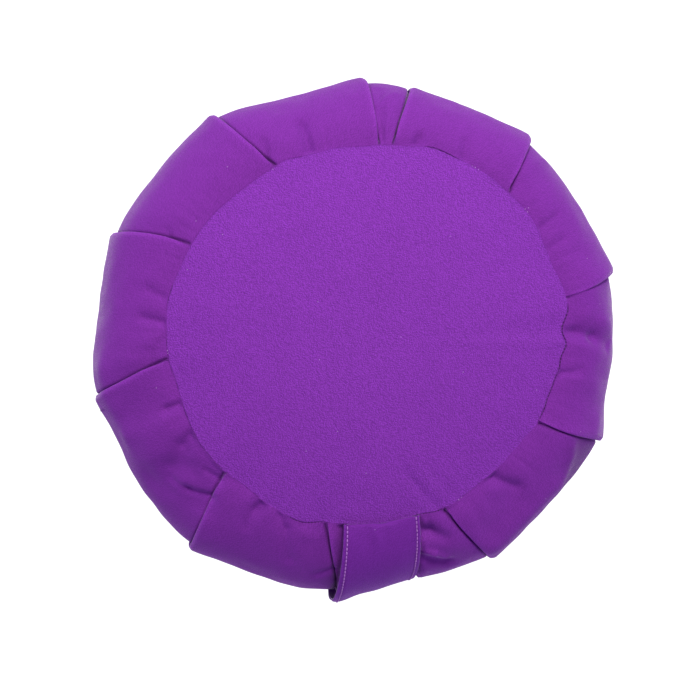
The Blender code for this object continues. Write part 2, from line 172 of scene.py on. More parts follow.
# The side band and the filling in it: one long strip of cotton twill, laid in eleven knife pleats
# round the cushion and sewn to both panels. The filling presses it out into a fat ring.
RIM_RADIUS = 0.173
RIM_HEIGHT = 0.062
TOP_SEAM_HEIGHT = 0.118
BOTTOM_SEAM_HEIGHT = 0.008
BOTTOM_SEAM_RADIUS = 0.127
CROWN_INSIDE_SEAM = 0.003
PLEAT_DEPTH = 0.010
PLEAT_SLIT = 0.0005
PLEAT_THICKNESS_AT_SEAM = 0.0012
PLEAT_THICKNESS_AT_RIM = 0.0022
PLEAT_SEAM_STEP = 0.0003
PLEAT_SEAM_RUN = 0.13
LAP_REACH = 0.030
LAP_LIFT = 0.0006
LAP_RISE = 0.050
GUTTER_PLACE = 0.0012
GUTTER_HALF_WIDTH = 0.0011
GUTTER_DEPTH = 0.0015
GUTTER_SEAM_RUN = 0.010
GUTTER_LOST_AT_RIM = 0.45
LEE_HALF_WIDTH = 0.0100
LEE_LEFT_AT_RIM = 0.30
LEE_SEAM_RUN = 0.08
CORNER_REACH = 0.0030
CORNER_DROP = 0.0012
SIDE_LENGTH = 0.168
SIDE_RINGS = 90
SIDE_RING_CROWDING = 0.35
SHOULDER_RINGS = 6
SIDE_COLUMN_STEP = 0.0018
FOLD_COLUMN_PLACES = (0.0004, 0.0008, 0.0012, 0.0017, 0.0023, 0.0031, 0.0043)
NOSE_COLUMNS = 7
LAP_COLUMN_STEPS = (0.25, 0.6, 1.0, 1.0, 0.6)
LAP_COLUMN_SLITS = (0.0, 0.0, 0.0, 1.0, 1.0)
BED_DEPTH = 0.0030
# The side's cotton colour. The top and the strap take the same cotton in other colours, painted
# lighter and darker to stand in for how the light falls on them.
SIDE_COLOUR = (0.231, 0.0315, 0.392, 1.0)
SIDE_GRAIN = 0.42
PANEL_CLOTH_PITCH = 0.20
# Flap edges painted lighter: partly wear, partly a painted highlight on the rounded fold.
WORN_HIGHLIGHT_HALF_WIDTH = 0.0016
WORN_HIGHLIGHT_SEAM_RUN = 0.05

# One row for each fold and the panel of cloth that runs from it counter-clockwise to the next fold.
# over is 1 where the cloth after the fold lies on top, and -1 where the cloth before it does; bow
# is how far the fold's edge curves sideways half-way out, in degrees; lee is how deep the lower
# cloth sinks towards the flap, and gutter how deep the line is where it goes in under it and how
# dark the painted shade is along that line.
# seam_radii are the top seam's at the fold and at the quarters of the way to the next, and
# rim_radii are the widest line's at WIDEST_LINE_STATIONS, from the fold to the end at the next.
Fold = namedtuple("Fold", "name seam_deg rim_deg over bow lee gutter seam_radii rim_radii")
FOLDS = (
    Fold("east", 12.1, 15.4, 1, -0.3, -0.0010, 0.25,
         (0.1355, 0.1336, 0.1340, 0.1363), (0.1811, 0.1778, 0.1762, 0.1765, 0.1775)),
    Fold("north_east", 45.6, 49.5, 1, 0.6, 0.0012, 1.00,
         (0.1350, 0.1341, 0.1330, 0.1309), (0.1820, 0.1780, 0.1746, 0.1731, 0.1746)),
    Fold("box_right", 81.1, 77.6, -1, 0.0, 0.0026, 2.40,
         (0.1278, 0.1275, 0.1272, 0.1269), (0.1732, 0.1738, 0.1736, 0.1736, 0.1736)),
    Fold("box_left", 85.2, 88.4, 1, 0.4, 0.0030, 1.80,
         (0.1266, 0.1253, 0.1257, 0.1259), (0.1769, 0.1720, 0.1685, 0.1725, 0.1760)),
    Fold("north_west", 116.9, 122.6, 1, 0.8, 0.0024, 1.50,
         (0.1254, 0.1243, 0.1249, 0.1261), (0.1790, 0.1759, 0.1736, 0.1737, 0.1747)),
    Fold("west_upper", 151.3, 156.3, 1, -0.5, 0.0018, 0.90,
         (0.1263, 0.1266, 0.1277, 0.1263), (0.1776, 0.1742, 0.1720, 0.1753, 0.1770)),
    Fold("west_lower", 185.7, 192.2, 1, 0.0, 0.0038, 1.00,
         (0.1252, 0.1226, 0.1234, 0.1238), (0.1780, 0.1724, 0.1724, 0.1733, 0.1744)),
    Fold("south_west", 223.9, 231.2, 1, -0.3, 0.0020, 0.80,
         (0.1220, 0.1205, 0.1219, 0.1233), (0.1780, 0.1722, 0.1687, 0.1686, 0.1662)),
    Fold("strap_side", 258.8, 265.9, 1, 0.8, 0.0016, 1.00,
         (0.1195, 0.1192, 0.1199, 0.1181), (0.1690, 0.1662, 0.1646, 0.1672, 0.1700)),
    Fold("south_east", 296.3, 302.2, 1, 0.0, 0.0003, 1.00,
         (0.1208, 0.1197, 0.1204, 0.1220), (0.1734, 0.1710, 0.1705, 0.1745, 0.1762)),
    Fold("east_lower", 335.5, 338.2, 1, -0.4, 0.0000, 0.85,
         (0.1258, 0.1267, 0.1296, 0.1299), (0.1800, 0.1736, 0.1736, 0.1749, 0.1757)),
)
WIDEST_LINE_STATIONS = (0.0, 0.2, 0.5, 0.8, 1.0)
fold = {field: np.array([getattr(row, field) for row in FOLDS]) for field in Fold._fields}
next_fold = {field: np.roll(values, -1, axis=0) for field, values in fold.items()}
seam_span = (next_fold["seam_deg"] - fold["seam_deg"]) % 360
rim_span = (next_fold["rim_deg"] - fold["rim_deg"]) % 360

# Soft troughs (negative) and ridges (positive) in the side band. Each runs along the cloth from one
# place to another, given as an angle and a length down the cloth from the top seam. A bluntness of
# 2 is a round dent, and a lower one a crease with a sharper line.
Crease = namedtuple("Crease", "deg_from down_from deg_to down_to half_width depth bluntness")


def creases(*rows):
    """Creases from rows of from (degrees, mm down), to (the same), half width, depth, bluntness."""
    units = (1, 0.001, 1, 0.001, 0.001, 0.001, 1)
    return [Crease(*row) for row in (np.array(rows) * units).tolist()]


CREASES = creases(
    (2.4, 0, 2.2, 9, 4.8, -1.8, 1.6),
    (2.2, 9, 0.9, 23, 5, -2.8, 2),
    (0.9, 23, -0.8, 42, 5.2, -2.6, 2),
    (6.2, 16, 3.6, 43, 5.5, 1.7, 2),
    (350.6, 1, 352.2, 15, 3.6, -1.8, 1.6),
    (335.8, 23.5, 333.2, 32.5, 5, 0.9, 2),
    (333.2, 32.5, 331.0, 39, 5, 0.9, 2),
    (331.0, 39, 324.5, 51, 5, 0.9, 2),
    (338.7, 36, 328.0, 65, 14, -1.2, 2),
    (323.0, 46, 304.5, 50, 10.5, 3.6, 2),
    (314.0, 28, 304.5, 32, 10, -2, 2),
    (313.4, 0, 316.6, 20, 5.8, -4, 1.6),
    (309.5, 16, 312.5, 21, 7, -1.6, 2),
    (286.9, 1, 284.8, 45, 3.2, -2, 1.6),
    (285.8, 11.5, 289.6, 14, 6.2, -3.4, 1.8),
    (289.6, 14, 292.8, 21.5, 5.4, -2.4, 2),
    (296.6, 2, 298.6, 30, 6.5, -1.6, 2),
    (284.6, 25.5, 289.0, 33, 2.6, 2.1, 2),
    (289.0, 33, 291.8, 42.5, 2.6, 2.1, 2),
    (285.0, 33, 292.0, 50, 5.8, -3.1, 2),
    (259.4, 42, 263.9, 37.5, 2.6, -1.4, 2),
    (263.4, 1, 265.0, 50, 3.6, -2.6, 1.6),
    (252.8, 7, 256.5, 10, 4.5, 1.2, 2),
    (244.2, 1, 247.8, 9, 3.6, -1.4, 1.6),
    (247.8, 9, 251.6, 31, 4.8, -1.6, 2),
    (228.0, 30, 252.0, 34, 16, -1.4, 2),
    (238.4, 0, 237.7, 8, 4.4, -2.4, 1.6),
    (237.7, 8, 238.0, 22, 5, -1.4, 2),
    (241.2, 1, 242.2, 6, 4.5, 0.6, 2),
    (219.5, 8.5, 224.6, 6.5, 2.6, -1.3, 2),
    (226.6, 20.5, 220.6, 32, 3.4, -2.4, 1.6),
    (220.6, 32, 215.6, 37.5, 3.4, -1.4, 1.6),
    (227.0, 28, 219.0, 45, 9, -2.2, 2),
    (221.0, 18, 224.0, 48, 17, -4.8, 2),
    (215.5, 20, 214.5, 50, 11.5, -4.2, 2),
    (203.0, 18, 203.8, 48, 11, 1.2, 2),
    (211.4, 13, 213.0, 28, 9.5, -3.2, 2),
    (208.4, 0, 209.8, 11, 4.6, -2.6, 1.6),
    (187.0, 52, 201.5, 50, 10, 2, 2),
    (199.0, 1, 199.3, 11, 3.4, -2.6, 1.6),
    (178.9, 0, 180.9, 5, 2.4, -1, 1.6),
    (174.9, 1, 174.1, 16, 3.6, -2.6, 1.6),
    (168.0, 1, 166.6, 15, 3, -1.4, 1.6),
    (153.2, 12, 150.2, 20, 1.8, -0.9, 1.6),
    (117.8, 7, 116.3, 18, 2.2, -1.4, 1.6),
    (105.5, 0, 105.6, 23, 4.2, -4, 1.6),
    (100.6, 1, 99.8, 13, 2.4, -1, 1.6),
    (86.0, 31, 81.5, 46, 2.4, 0.9, 2),
    (84.6, 4, 85.6, 50, 4, -1.6, 2),
    (74.6, 0, 74.4, 6, 3.4, -3.2, 1.6),
    (60.8, 1, 62.4, 13, 3.2, -2.2, 1.6),
    (46.2, 17, 43.8, 48, 3.2, 1.1, 2),
    (32.3, 1, 32.6, 17, 2.8, -1.8, 1.6),
    (26.1, 0, 26.6, 14, 2.8, -1.4, 1.6),
    (28.0, 164, 26.0, 138, 9, -3, 1.6),
    (68.0, 166, 66.0, 134, 10, -3.4, 1.6),
    (101.0, 164, 103.0, 140, 8.5, -2.8, 1.6),
    (132.0, 166, 131.0, 132, 9.5, -3.2, 1.6),
    (172.0, 166, 170.0, 126, 10, -3.6, 1.6),
    (204.0, 166, 206.0, 136, 9, -3, 1.6),
    (249.0, 168, 246.0, 134, 9.5, -3.2, 1.6),
    (318.0, 168, 320.0, 130, 10, -3.6, 1.6),
    (352.0, 164, 350.0, 136, 9, -3, 1.6),
)
CREASE_SEAM_RUN = 0.014

# Painted shade on the side's panel beside a flap, where it lies in the flap's shadow: a crease row
# whose depth is how dark the painted shade is, from 0 to 1.
SHADED_PANEL = "south_east"
SHADES = [Crease(339.0, 0.0372, 328.4, 0.0650, 0.0165, 0.50, 3.0)]

# Puckers: the short troughs that the gathered cloth makes at a seam, at places drawn at random.
PUCKER_COUNT = 90
PUCKER_LENGTH = (0.004, 0.013)
PUCKER_HALF_WIDTH = (0.0016, 0.0034)
PUCKER_DEPTH = (0.0001, 0.0005)
PUCKER_LEAN = 3.0
PUCKER_LEAN_RUN = 30
RIPPLE_COUNT = 36
RIPPLE_LENGTH = (0.016, 0.050)
RIPPLE_HEIGHT = 0.00004
RIPPLE_SEAM_RUN = 0.03

# Where the top seam swells out or is drawn in over a short stretch, and by how much.
SeamBend = namedtuple("SeamBend", "deg half_width_deg rise")
SEAM_BENDS = (
    SeamBend(8.3, 2.6, 0.0021),
    SeamBend(359.2, 2.8, 0.0031),
    SeamBend(52.0, 3.2, 0.0008),
    SeamBend(69.3, 4.0, 0.0012),
    SeamBend(105.0, 5.5, -0.0013),
    SeamBend(114.2, 1.8, 0.0008),
)
SEAM_WAVES = 9
SEAM_WAVE_COUNTS = (18, 64)
SEAM_WAVE_HEIGHT = 0.00007
SEAM_STITCHES = 380

# How far the seams are pulled open, from 0 to 1, over stretches counter-clockwise from one angle to
# another. Where a seam is tight its two edges meet with hardly a groove between them. The pairs of
# sizes are those where the seam is tight and where it is open.
SeamStretch = namedtuple("SeamStretch", "deg_from deg_to open")
SEAM_STRETCHES = [SeamStretch(*row) for row in (
    (351.0, 9.8, 1.00),
    (46.0, 53.0, 0.15),
    (61.5, 71.8, 0.80),
    (107.5, 112.5, 0.40),
    (118.0, 150.0, 0.16),
    (163.0, 171.0, 0.55),
    (178.0, 196.0, 0.50),
    (198.0, 222.5, 0.66),
    (224.0, 237.0, 0.45),
    (246.5, 258.5, 0.85),
    (262.0, 283.0, 0.80),
    (286.0, 297.0, 0.85),
    (298.0, 316.0, 0.40),
    (336.0, 351.0, 0.92),
)]
SEAM_OPEN_LEAST = 0.10
SEAM_OPEN_EDGE_DEG = 0.9
SEAM_OPEN_POWER = 1.6
SHOULDER = 0.0007
SHOULDER_DROP = (0.00008, 0.00055)
GAPE = (0.00001, 0.00014)
# Painted shade in the seam's groove, and how far it reaches from the seam.
SEAM_SHADE = (0.05, 0.75)
SEAM_SHADE_REACH = (0.00025, 0.00055)


def through_points(x, knots, values):
    """Cubic curve through the knots, with the slope at each of the line joining its neighbours.

    values may have a second axis, with one curve for each column of x.
    """
    knots = np.asarray(knots, float)
    values = np.asarray(values, float)
    slopes = np.gradient(values, knots, axis=0)
    cell = np.clip(np.searchsorted(knots, x, side="right") - 1, 0, len(knots) - 2)
    width = knots[cell + 1] - knots[cell]
    t = np.clip((x - knots[cell]) / width, 0.0, 1.0)
    curve = () if values.ndim == 1 else (np.arange(values.shape[1]),)
    here, there = (cell, *curve), (cell + 1, *curve)
    rise = values[there] - values[here]
    start = slopes[here] * width
    finish = slopes[there] * width
    square = 3 * rise - 2 * start - finish
    cube = start + finish - 2 * rise
    return values[here] + t * (start + t * (square + t * cube))


def degrees_from(place, degrees):
    """The angle from a place to another, the short way round, from -180 to 180."""
    return (degrees - place + 180) % 360 - 180


def bell(apart, half_width):
    """A bell curve, exp(-(d/w)^2): 1 at no distance, and 0.37 at the half width."""
    return np.exp(-((apart / half_width) ** 2))


def seam_bend(degrees):
    """Small bends of the top seam: a bell curve for each of SEAM_BENDS, and a few sine waves."""
    random = np.random.default_rng(3)
    total = np.zeros(np.shape(degrees))
    for bend in SEAM_BENDS:
        total = total + bend.rise * bell(degrees_from(bend.deg, degrees), bend.half_width_deg)
    for waves in random.integers(*SEAM_WAVE_COUNTS, SEAM_WAVES):
        phase = random.uniform(0, 2 * math.pi)
        total = total + SEAM_WAVE_HEIGHT * np.sin(np.radians(degrees * waves) + phase)
    return total


def seam_open(degrees):
    """How far a seam is open at an angle: the widest of its stretches, each with soft tanh ends."""
    total = np.full(np.shape(degrees), SEAM_OPEN_LEAST)
    for stretch in SEAM_STRETCHES:
        half = (stretch.deg_to - stretch.deg_from) % 360 / 2
        aside = np.abs(degrees_from(half, degrees - stretch.deg_from))
        inside = 1 - np.tanh((aside - half) / SEAM_OPEN_EDGE_DEG)
        total = np.maximum(total, stretch.open * 0.5 * inside)
    return total


def seam_size(degrees, limits):
    """A size of the seam's groove, between its values where the seam is tight and open."""
    return limits[0] + (limits[1] - limits[0]) * seam_open(degrees) ** SEAM_OPEN_POWER


def seam_shade(degrees, from_seam):
    """How much painted shade a point takes in the seam's groove: a bell curve, wider and fuller
    where open.
    """
    return seam_size(degrees, SEAM_SHADE) * bell(from_seam, seam_size(degrees, SEAM_SHADE_REACH))


def top_seam_radius(degrees):
    """Radius of the top seam: a closed cubic curve through seam_radii, with the seam's bends."""
    quarters = np.arange(4) / 4
    knots = (fold["seam_deg"][:, None] + seam_span[:, None] * quarters).ravel()
    knots = np.where(knots < knots[0], knots + 360, knots)
    laps = np.concatenate([knots + lap for lap in (-360, 0, 360)])
    degrees = np.asarray(degrees, float)
    place = (degrees - knots[0]) % 360 + knots[0]
    return through_points(place, laps, np.tile(fold["seam_radii"].ravel(), 3)) + seam_bend(degrees)


def side_section(degrees, v):
    """Plain section of the side: half an ellipse from the top seam (v = 0) to the bottom one (1).

    Returns the radius, the height, the radial and vertical parts of the way out of the cloth, and
    how far the radius has come from the seam (0) to the rim (1).
    """
    seam_top = top_seam_radius(degrees)
    depth_top = RIM_RADIUS - seam_top + CROWN_INSIDE_SEAM
    depth_bottom = RIM_RADIUS - BOTTOM_SEAM_RADIUS + CROWN_INSIDE_SEAM
    turn_top = np.arccos(CROWN_INSIDE_SEAM / depth_top)
    turn_bottom = -math.acos(CROWN_INSIDE_SEAM / depth_bottom)
    rise_top = (TOP_SEAM_HEIGHT - RIM_HEIGHT) / np.sin(turn_top)
    rise_bottom = (BOTTOM_SEAM_HEIGHT - RIM_HEIGHT) / math.sin(turn_bottom)
    angle = turn_top + (turn_bottom - turn_top) * v
    upper = angle > 0
    depth = np.where(upper, depth_top, depth_bottom)
    rise = np.where(upper, rise_top, rise_bottom)
    seam = np.where(upper, seam_top, BOTTOM_SEAM_RADIUS)
    radius = RIM_RADIUS - depth + depth * np.cos(angle)
    height = RIM_HEIGHT + rise * np.sin(angle)
    across = rise * np.cos(angle)
    upward = depth * np.sin(angle)
    length = np.hypot(across, upward)
    out = np.clip((radius - seam) / (RIM_RADIUS - seam), 0.0, 1.0)
    return radius, height, np.maximum(across / length, 0.0), upward / length, out


def length_down(radius, height):
    """Length of cloth from each ring to the next, and from the first ring down to each."""
    steps = np.hypot(np.diff(radius, axis=0), np.diff(height, axis=0))
    return steps, np.vstack([np.zeros((1, radius.shape[1])), np.cumsum(steps, axis=0)])


def fullness(v):
    """How fully a shape of the widest line shows at v: 0 at both seams and 1 half-way."""
    return np.sin(np.pi * np.clip(v, 0.0, 1.0))


def seam_run(v, run):
    """0 at either seam, rising smoothly to 1 at a distance run in v from it."""
    t = np.clip(np.minimum(v, 1.0 - v) / run, 0.0, 1.0)
    return t * t * (3 - 2 * t)


def fold_angle(folds, index, v):
    """Angle of a fold's edge at v: from its place in the seam to the widest line, with a bow."""
    out = side_section(folds["seam_deg"][index], v)[4]
    turned = degrees_from(folds["seam_deg"], folds["rim_deg"])
    bowed = folds["bow"][index] * 4 * out * (1 - out)
    return folds["seam_deg"][index] + turned[index] * out + bowed


# The strap's own section, which the side has to know to lie under it.
STRAP_MIDDLE_DEG = 275.95
STRAP_WIDTH_AT_RIM = 0.057
STRAP_WIDTH_AT_SEAM = 0.0500
STRAP_THICKNESS = 0.0022
STRAP_RIM_RADIUS = 0.1673
STRAP_TILT = -0.0062
STRAP_CUP = 0.0028
STRAP_SEAM_LIFT = 0.001
STRAP_SLACK = 0.0085
STRAP_SLACK_FROM = 0.50
STRAP_SLACK_TO = 0.97
STRAP_CLEARANCE = 0.0005
STRAP_HOLLOW_MARGIN = 1.07
STRAP_HOLLOW_SLOPE = 0.050
STRAP_DRIFT_DEG = 1.75
STRAP_DRIFT_POWER = 1.3
STRAP_CURL = 0.0016
STRAP_CURL_FROM = 0.82
UNDER_STRAP_EDGE = 0.04


def strap_middle(v):
    """Angle of the strap's middle line, which drifts to its first edge on the way down."""
    return STRAP_MIDDLE_DEG - STRAP_DRIFT_DEG * fullness(v) ** STRAP_DRIFT_POWER


def strap_half_angle(v):
    """Half the strap's width as an angle, in degrees."""
    width = STRAP_WIDTH_AT_SEAM + (STRAP_WIDTH_AT_RIM - STRAP_WIDTH_AT_SEAM) * fullness(v)
    radius = side_section(strap_middle(v), v)[0]
    return np.degrees(np.arcsin(width / 2 / radius))


def across_strap(degrees, v):
    """Where an angle lies across the strap: -1 at its first edge and 1 at its last."""
    return degrees_from(strap_middle(v), degrees) / strap_half_angle(v)


def strap_stand(across, v):
    """Height of the strap's inner face over the plain section, without its slack.

    At the widest line it is a parabola in across (-1 to 1 from edge to edge), higher at the first
    edge, whose border curls in.
    """
    outer = STRAP_RIM_RADIUS + STRAP_TILT * across + STRAP_CUP * across**2
    curl = np.clip(-across - STRAP_CURL_FROM, 0.0, 1.0) / (1 - STRAP_CURL_FROM)
    rim = outer - STRAP_THICKNESS - RIM_RADIUS - STRAP_CURL * curl**2
    full = fullness(v)
    return full * rim + (1 - full) * STRAP_SEAM_LIFT


def strap_limit(degrees, v):
    """The highest that the side may stand under the strap, free to rise again beyond its edges."""
    across = across_strap(degrees, v)
    beyond = np.maximum(np.abs(across) - STRAP_HOLLOW_MARGIN, 0.0)
    stand = strap_stand(np.clip(across, -1.0, 1.0), v)
    return stand - STRAP_CLEARANCE + STRAP_HOLLOW_SLOPE * beyond


def under_strap(degrees, v):
    """Painted shade under the strap: 1 where the strap hides the side, a little more on its first
    side, 0 beyond: a tanh step.
    """
    beyond = np.abs(across_strap(degrees, v) + UNDER_STRAP_EDGE) - 1 - UNDER_STRAP_EDGE
    return 0.5 * (1 - np.tanh(beyond / UNDER_STRAP_EDGE))


def crease_height(degrees, down, creases):
    """Sum of creases: each falls off with the distance from its line, as exp(-(d/w)^bluntness)."""
    total = np.zeros(np.broadcast(degrees, down).shape)
    for crease in creases:
        x = np.radians(degrees_from(crease.deg_from, degrees)) * RIM_RADIUS
        y = down - crease.down_from
        run_x = math.radians(crease.deg_to - crease.deg_from) * RIM_RADIUS
        run_y = crease.down_to - crease.down_from
        along = np.clip((x * run_x + y * run_y) / (run_x**2 + run_y**2), 0.0, 1.0)
        apart = np.hypot(x - along * run_x, y - along * run_y)
        total += crease.depth * np.exp(-((apart / crease.half_width) ** crease.bluntness))
    return total


def pucker_height(degrees, down, length, seed):
    """Sum of short troughs at both seams: each a bell curve across, fading along its length."""
    random = np.random.default_rng(seed)
    total = np.zeros(np.broadcast(degrees, down).shape)
    for seam_down in (0.0, length):
        places = np.sort(random.uniform(0, 360, PUCKER_COUNT))
        leans = random.normal(0, PUCKER_LEAN, PUCKER_COUNT)
        lengths = random.uniform(*PUCKER_LENGTH, PUCKER_COUNT)
        widths = random.uniform(*PUCKER_HALF_WIDTH, PUCKER_COUNT)
        depths = random.uniform(*PUCKER_DEPTH, PUCKER_COUNT)
        away = np.abs(down - seam_down)
        for place, lean, reach, width, depth in zip(places, leans, lengths, widths, depths):
            x = np.radians(degrees_from(place, degrees)) * RIM_RADIUS
            x = x - away * lean / PUCKER_LEAN_RUN
            total -= depth * np.exp(-((x / width) ** 2) - (away / reach) ** 2)
    return total


def ripple_height(degrees, down, seed):
    """Faint unevenness of stuffed cloth: a sum of sine waves of random way, length and phase."""
    random = np.random.default_rng(seed)
    x = np.radians(degrees) * RIM_RADIUS
    total = np.zeros(np.broadcast(degrees, down).shape)
    for _ in range(RIPPLE_COUNT):
        length = random.uniform(*RIPPLE_LENGTH)
        heading = random.uniform(0, math.pi)
        phase = random.uniform(0, 2 * math.pi)
        wave = (x * math.cos(heading) + down * math.sin(heading)) * 2 * math.pi / length
        total += RIPPLE_HEIGHT * np.sin(wave + phase)
    return total


def side_columns():
    """The side's columns, counter-clockwise, as six arrays.

    They are the fold's number, s from it to the next fold, sideways steps at the seams and away
    from them, a drop counted in pleat thicknesses, and the slit under a flap. A flap's edge is half
    a circle of NOSE_COLUMNS columns, and the cloth under it runs on and doubles back.
    """
    rows = []
    round_nose = np.linspace(0.0, math.pi, NOSE_COLUMNS)
    nose_drop = (1 - np.cos(round_nose)) / 2
    nose_step = -np.sin(round_nose) * PLEAT_THICKNESS_AT_RIM / 2
    crowd = np.linspace(-0.5, 1.0, NOSE_COLUMNS) * PLEAT_SEAM_STEP
    lap_step = np.array(LAP_COLUMN_STEPS) * PLEAT_DEPTH
    lap_seam = -np.linspace(3.0, 1.0, len(lap_step)) * PLEAT_SEAM_STEP
    lap_slit = np.array(LAP_COLUMN_SLITS) * PLEAT_SLIT
    close = np.array(FOLD_COLUMN_PLACES)
    for index, row in enumerate(FOLDS):
        def add(s, seam_step, open_step, drop, slit):
            rows.append(np.broadcast_arrays(float(index), s, seam_step, open_step, drop, slit))
        if row.over == 1:
            add(0.0, crowd, nose_step[::-1], nose_drop[::-1], 0.0)
        else:
            add(0.0, -lap_seam[::-1], -lap_step[::-1], 0.0, lap_slit[::-1])
        width = math.radians(rim_span[index]) * RIM_RADIUS
        count = round((width - 2 * close[-1]) / SIDE_COLUMN_STEP)
        even = np.linspace(close[-1], width - close[-1], count)
        add(np.concatenate([close, even[1:-1], width - close[::-1]]) / width, 0.0, 0.0, 0.0, 0.0)
        if next_fold["over"][index] == 1:
            add(1.0, lap_seam, lap_step, 0.0, lap_slit)
        else:
            add(1.0, -crowd[::-1], -nose_step, nose_drop, 0.0)
    return [np.concatenate(part) for part in zip(*rows)]


def side_rings():
    """The side's rings from seam to seam, closer at the seams, with a few round each shoulder."""
    even = np.linspace(0.0, 1.0, SIDE_RINGS)
    crowded = even - SIDE_RING_CROWDING * np.sin(2 * np.pi * even) / (2 * np.pi)
    shoulder = SHOULDER * (1 - np.cos(np.linspace(0.0, math.pi / 2, SHOULDER_RINGS))) / SIDE_LENGTH
    clear = 1.4 * shoulder[-1]
    inner = crowded[(crowded > clear) & (crowded < 1 - clear)]
    return np.concatenate([shoulder, inner, 1 - shoulder[::-1]])


def place_round(radius, degrees, height):
    """Points from a radius, an angle and a height, along a last axis of three."""
    radians = np.radians(degrees)
    east, north = radius * np.cos(radians), radius * np.sin(radians)
    return np.stack(np.broadcast_arrays(east, north, height), axis=-1)


def side_surface(waves):
    """Grid of the side: the plain section, moved along its way out by the cloth's height over it.

    The height follows the widest line's radii, rises near the seams over the folded layers beside a
    flap, dips where cloth runs in under a flap, adds the creases, the waves and the ripples, is
    pressed in under the strap, and rounds down into each seam. waves is a function of the angle and
    v. Also returns each point's place on the flat cloth, how much painted shade it takes in a
    fold's gutter, under the strap or in a flap's shadow, how much painted shade in a seam's groove,
    and how much a worn flap edge with a painted highlight lightens it, from 0 to 1.
    """
    number, s, seam_step, open_step, drop, slit = side_columns()
    index = number.astype(int)
    v = side_rings()[:, None]
    start = fold_angle(fold, index, v)
    finish = start + (fold_angle(next_fold, index, v) - start) % 360
    surface_deg = start + s * (finish - start)
    run = seam_run(v, PLEAT_SEAM_RUN)
    sideways = seam_step * (1 - run) + open_step * run
    degrees = surface_deg + np.degrees(sideways / side_section(surface_deg, v)[0])
    radius, height, across, upward, _ = side_section(degrees, v)
    down = length_down(radius, height)[1]
    width = np.radians(rim_span[index]) * radius
    flap_starts = fold["over"][index] == 1
    flap_ends = next_fold["over"][index] == -1
    under = np.minimum(np.where(flap_ends, 1.0, 1 - s), np.where(flap_starts, 1.0, s)) * width
    flap = np.minimum(np.where(flap_starts, s, 1.0), np.where(flap_ends, 1 - s, 1.0)) * width
    full = fullness(v)
    widest = through_points(s, WIDEST_LINE_STATIONS, fold["rim_radii"].T[:, index]) - RIM_RADIUS
    span = np.radians(seam_span[index]) * fold["seam_radii"][index, 0]
    folded = np.where(flap_starts, bell(s * span, LAP_REACH), 0.0)
    folded += np.where(flap_ends, bell((1 - s) * span, LAP_REACH), 0.0)
    thickness = PLEAT_THICKNESS_AT_SEAM + (PLEAT_THICKNESS_AT_RIM - PLEAT_THICKNESS_AT_SEAM) * full
    stand = full * widest + (1 - full) * LAP_LIFT * folded * seam_run(v, LAP_RISE)
    lee, gutter = (
        np.where(flap_ends, fold[name][index], next_fold[name][index]) for name in ("lee", "gutter")
    )
    gutter = gutter * bell(under - GUTTER_PLACE, GUTTER_HALF_WIDTH) * seam_run(v, GUTTER_SEAM_RUN)
    lee = lee * (1 - (1 - LEE_LEFT_AT_RIM) * full**3)
    stand -= GUTTER_DEPTH * gutter + lee * bell(under, LEE_HALF_WIDTH) * seam_run(v, LEE_SEAM_RUN)
    stand -= full * CORNER_DROP * np.clip(1 - flap / CORNER_REACH, 0.0, 1.0) ** 2
    soft = seam_run(v, CREASE_SEAM_RUN) * crease_height(degrees, down, CREASES)
    soft += waves(degrees, v) + seam_run(v, RIPPLE_SEAM_RUN) * ripple_height(degrees, down, seed=11)
    stand = stand - drop * thickness + slit + soft
    stand = np.minimum(stand, strap_limit(degrees, v) - drop * thickness)
    from_seam = np.minimum(down, down[-1] - down)
    edge = np.clip(from_seam / SHOULDER, 0.0, 1.0)
    stand -= seam_size(degrees, SHOULDER_DROP) * (1 - np.sqrt(1 - (1 - edge) ** 2))
    points = place_round(
        radius + seam_size(degrees, GAPE) + stand * across, degrees, height + stand * upward
    )
    middle = start + 0.5 * (finish - start)
    along = np.radians(degrees - middle) * radius + index * PANEL_CLOTH_PITCH
    flat = np.stack([along, down], axis=-1)
    shaded = fold["name"][index] == SHADED_PANEL
    # Painted shade: the gutters where cloth runs in under a flap, the side under the strap and the
    # panel in a flap's shadow are darkened in colour.
    crease = np.maximum.reduce([
        np.minimum(gutter * (1 - GUTTER_LOST_AT_RIM * full), 1.0),
        under_strap(degrees, v),
        crease_height(degrees, down, SHADES) * shaded,
    ])
    # Worn flap edges, painted lighter: partly wear, partly a painted highlight.
    wear_highlight = bell(flap, WORN_HIGHLIGHT_HALF_WIDTH) * seam_run(v, WORN_HIGHLIGHT_SEAM_RUN) * (1 - drop)
    return points, flat, {"crease": crease, "seam": seam_shade(degrees, from_seam), "wear_highlight": wear_highlight}


def ring_faces(rings, columns):
    """Vertex numbers of a skin: quads between its rings, then fans of triangles onto two poles."""
    here = np.arange(columns)
    after = np.roll(here, -1)
    start = columns * np.arange(rings - 1)[:, None]
    corners = (start + here, start + columns + here, start + columns + after, start + after)
    quads = np.stack(corners, axis=-1).reshape(-1, 4)
    first = np.full(columns, rings * columns)
    last = (rings - 1) * columns
    top_fan = np.stack([first, here, after], axis=-1)
    low_fan = np.stack([first + 1, last + after, last + here], axis=-1)
    return quads, np.vstack([top_fan, low_fan])


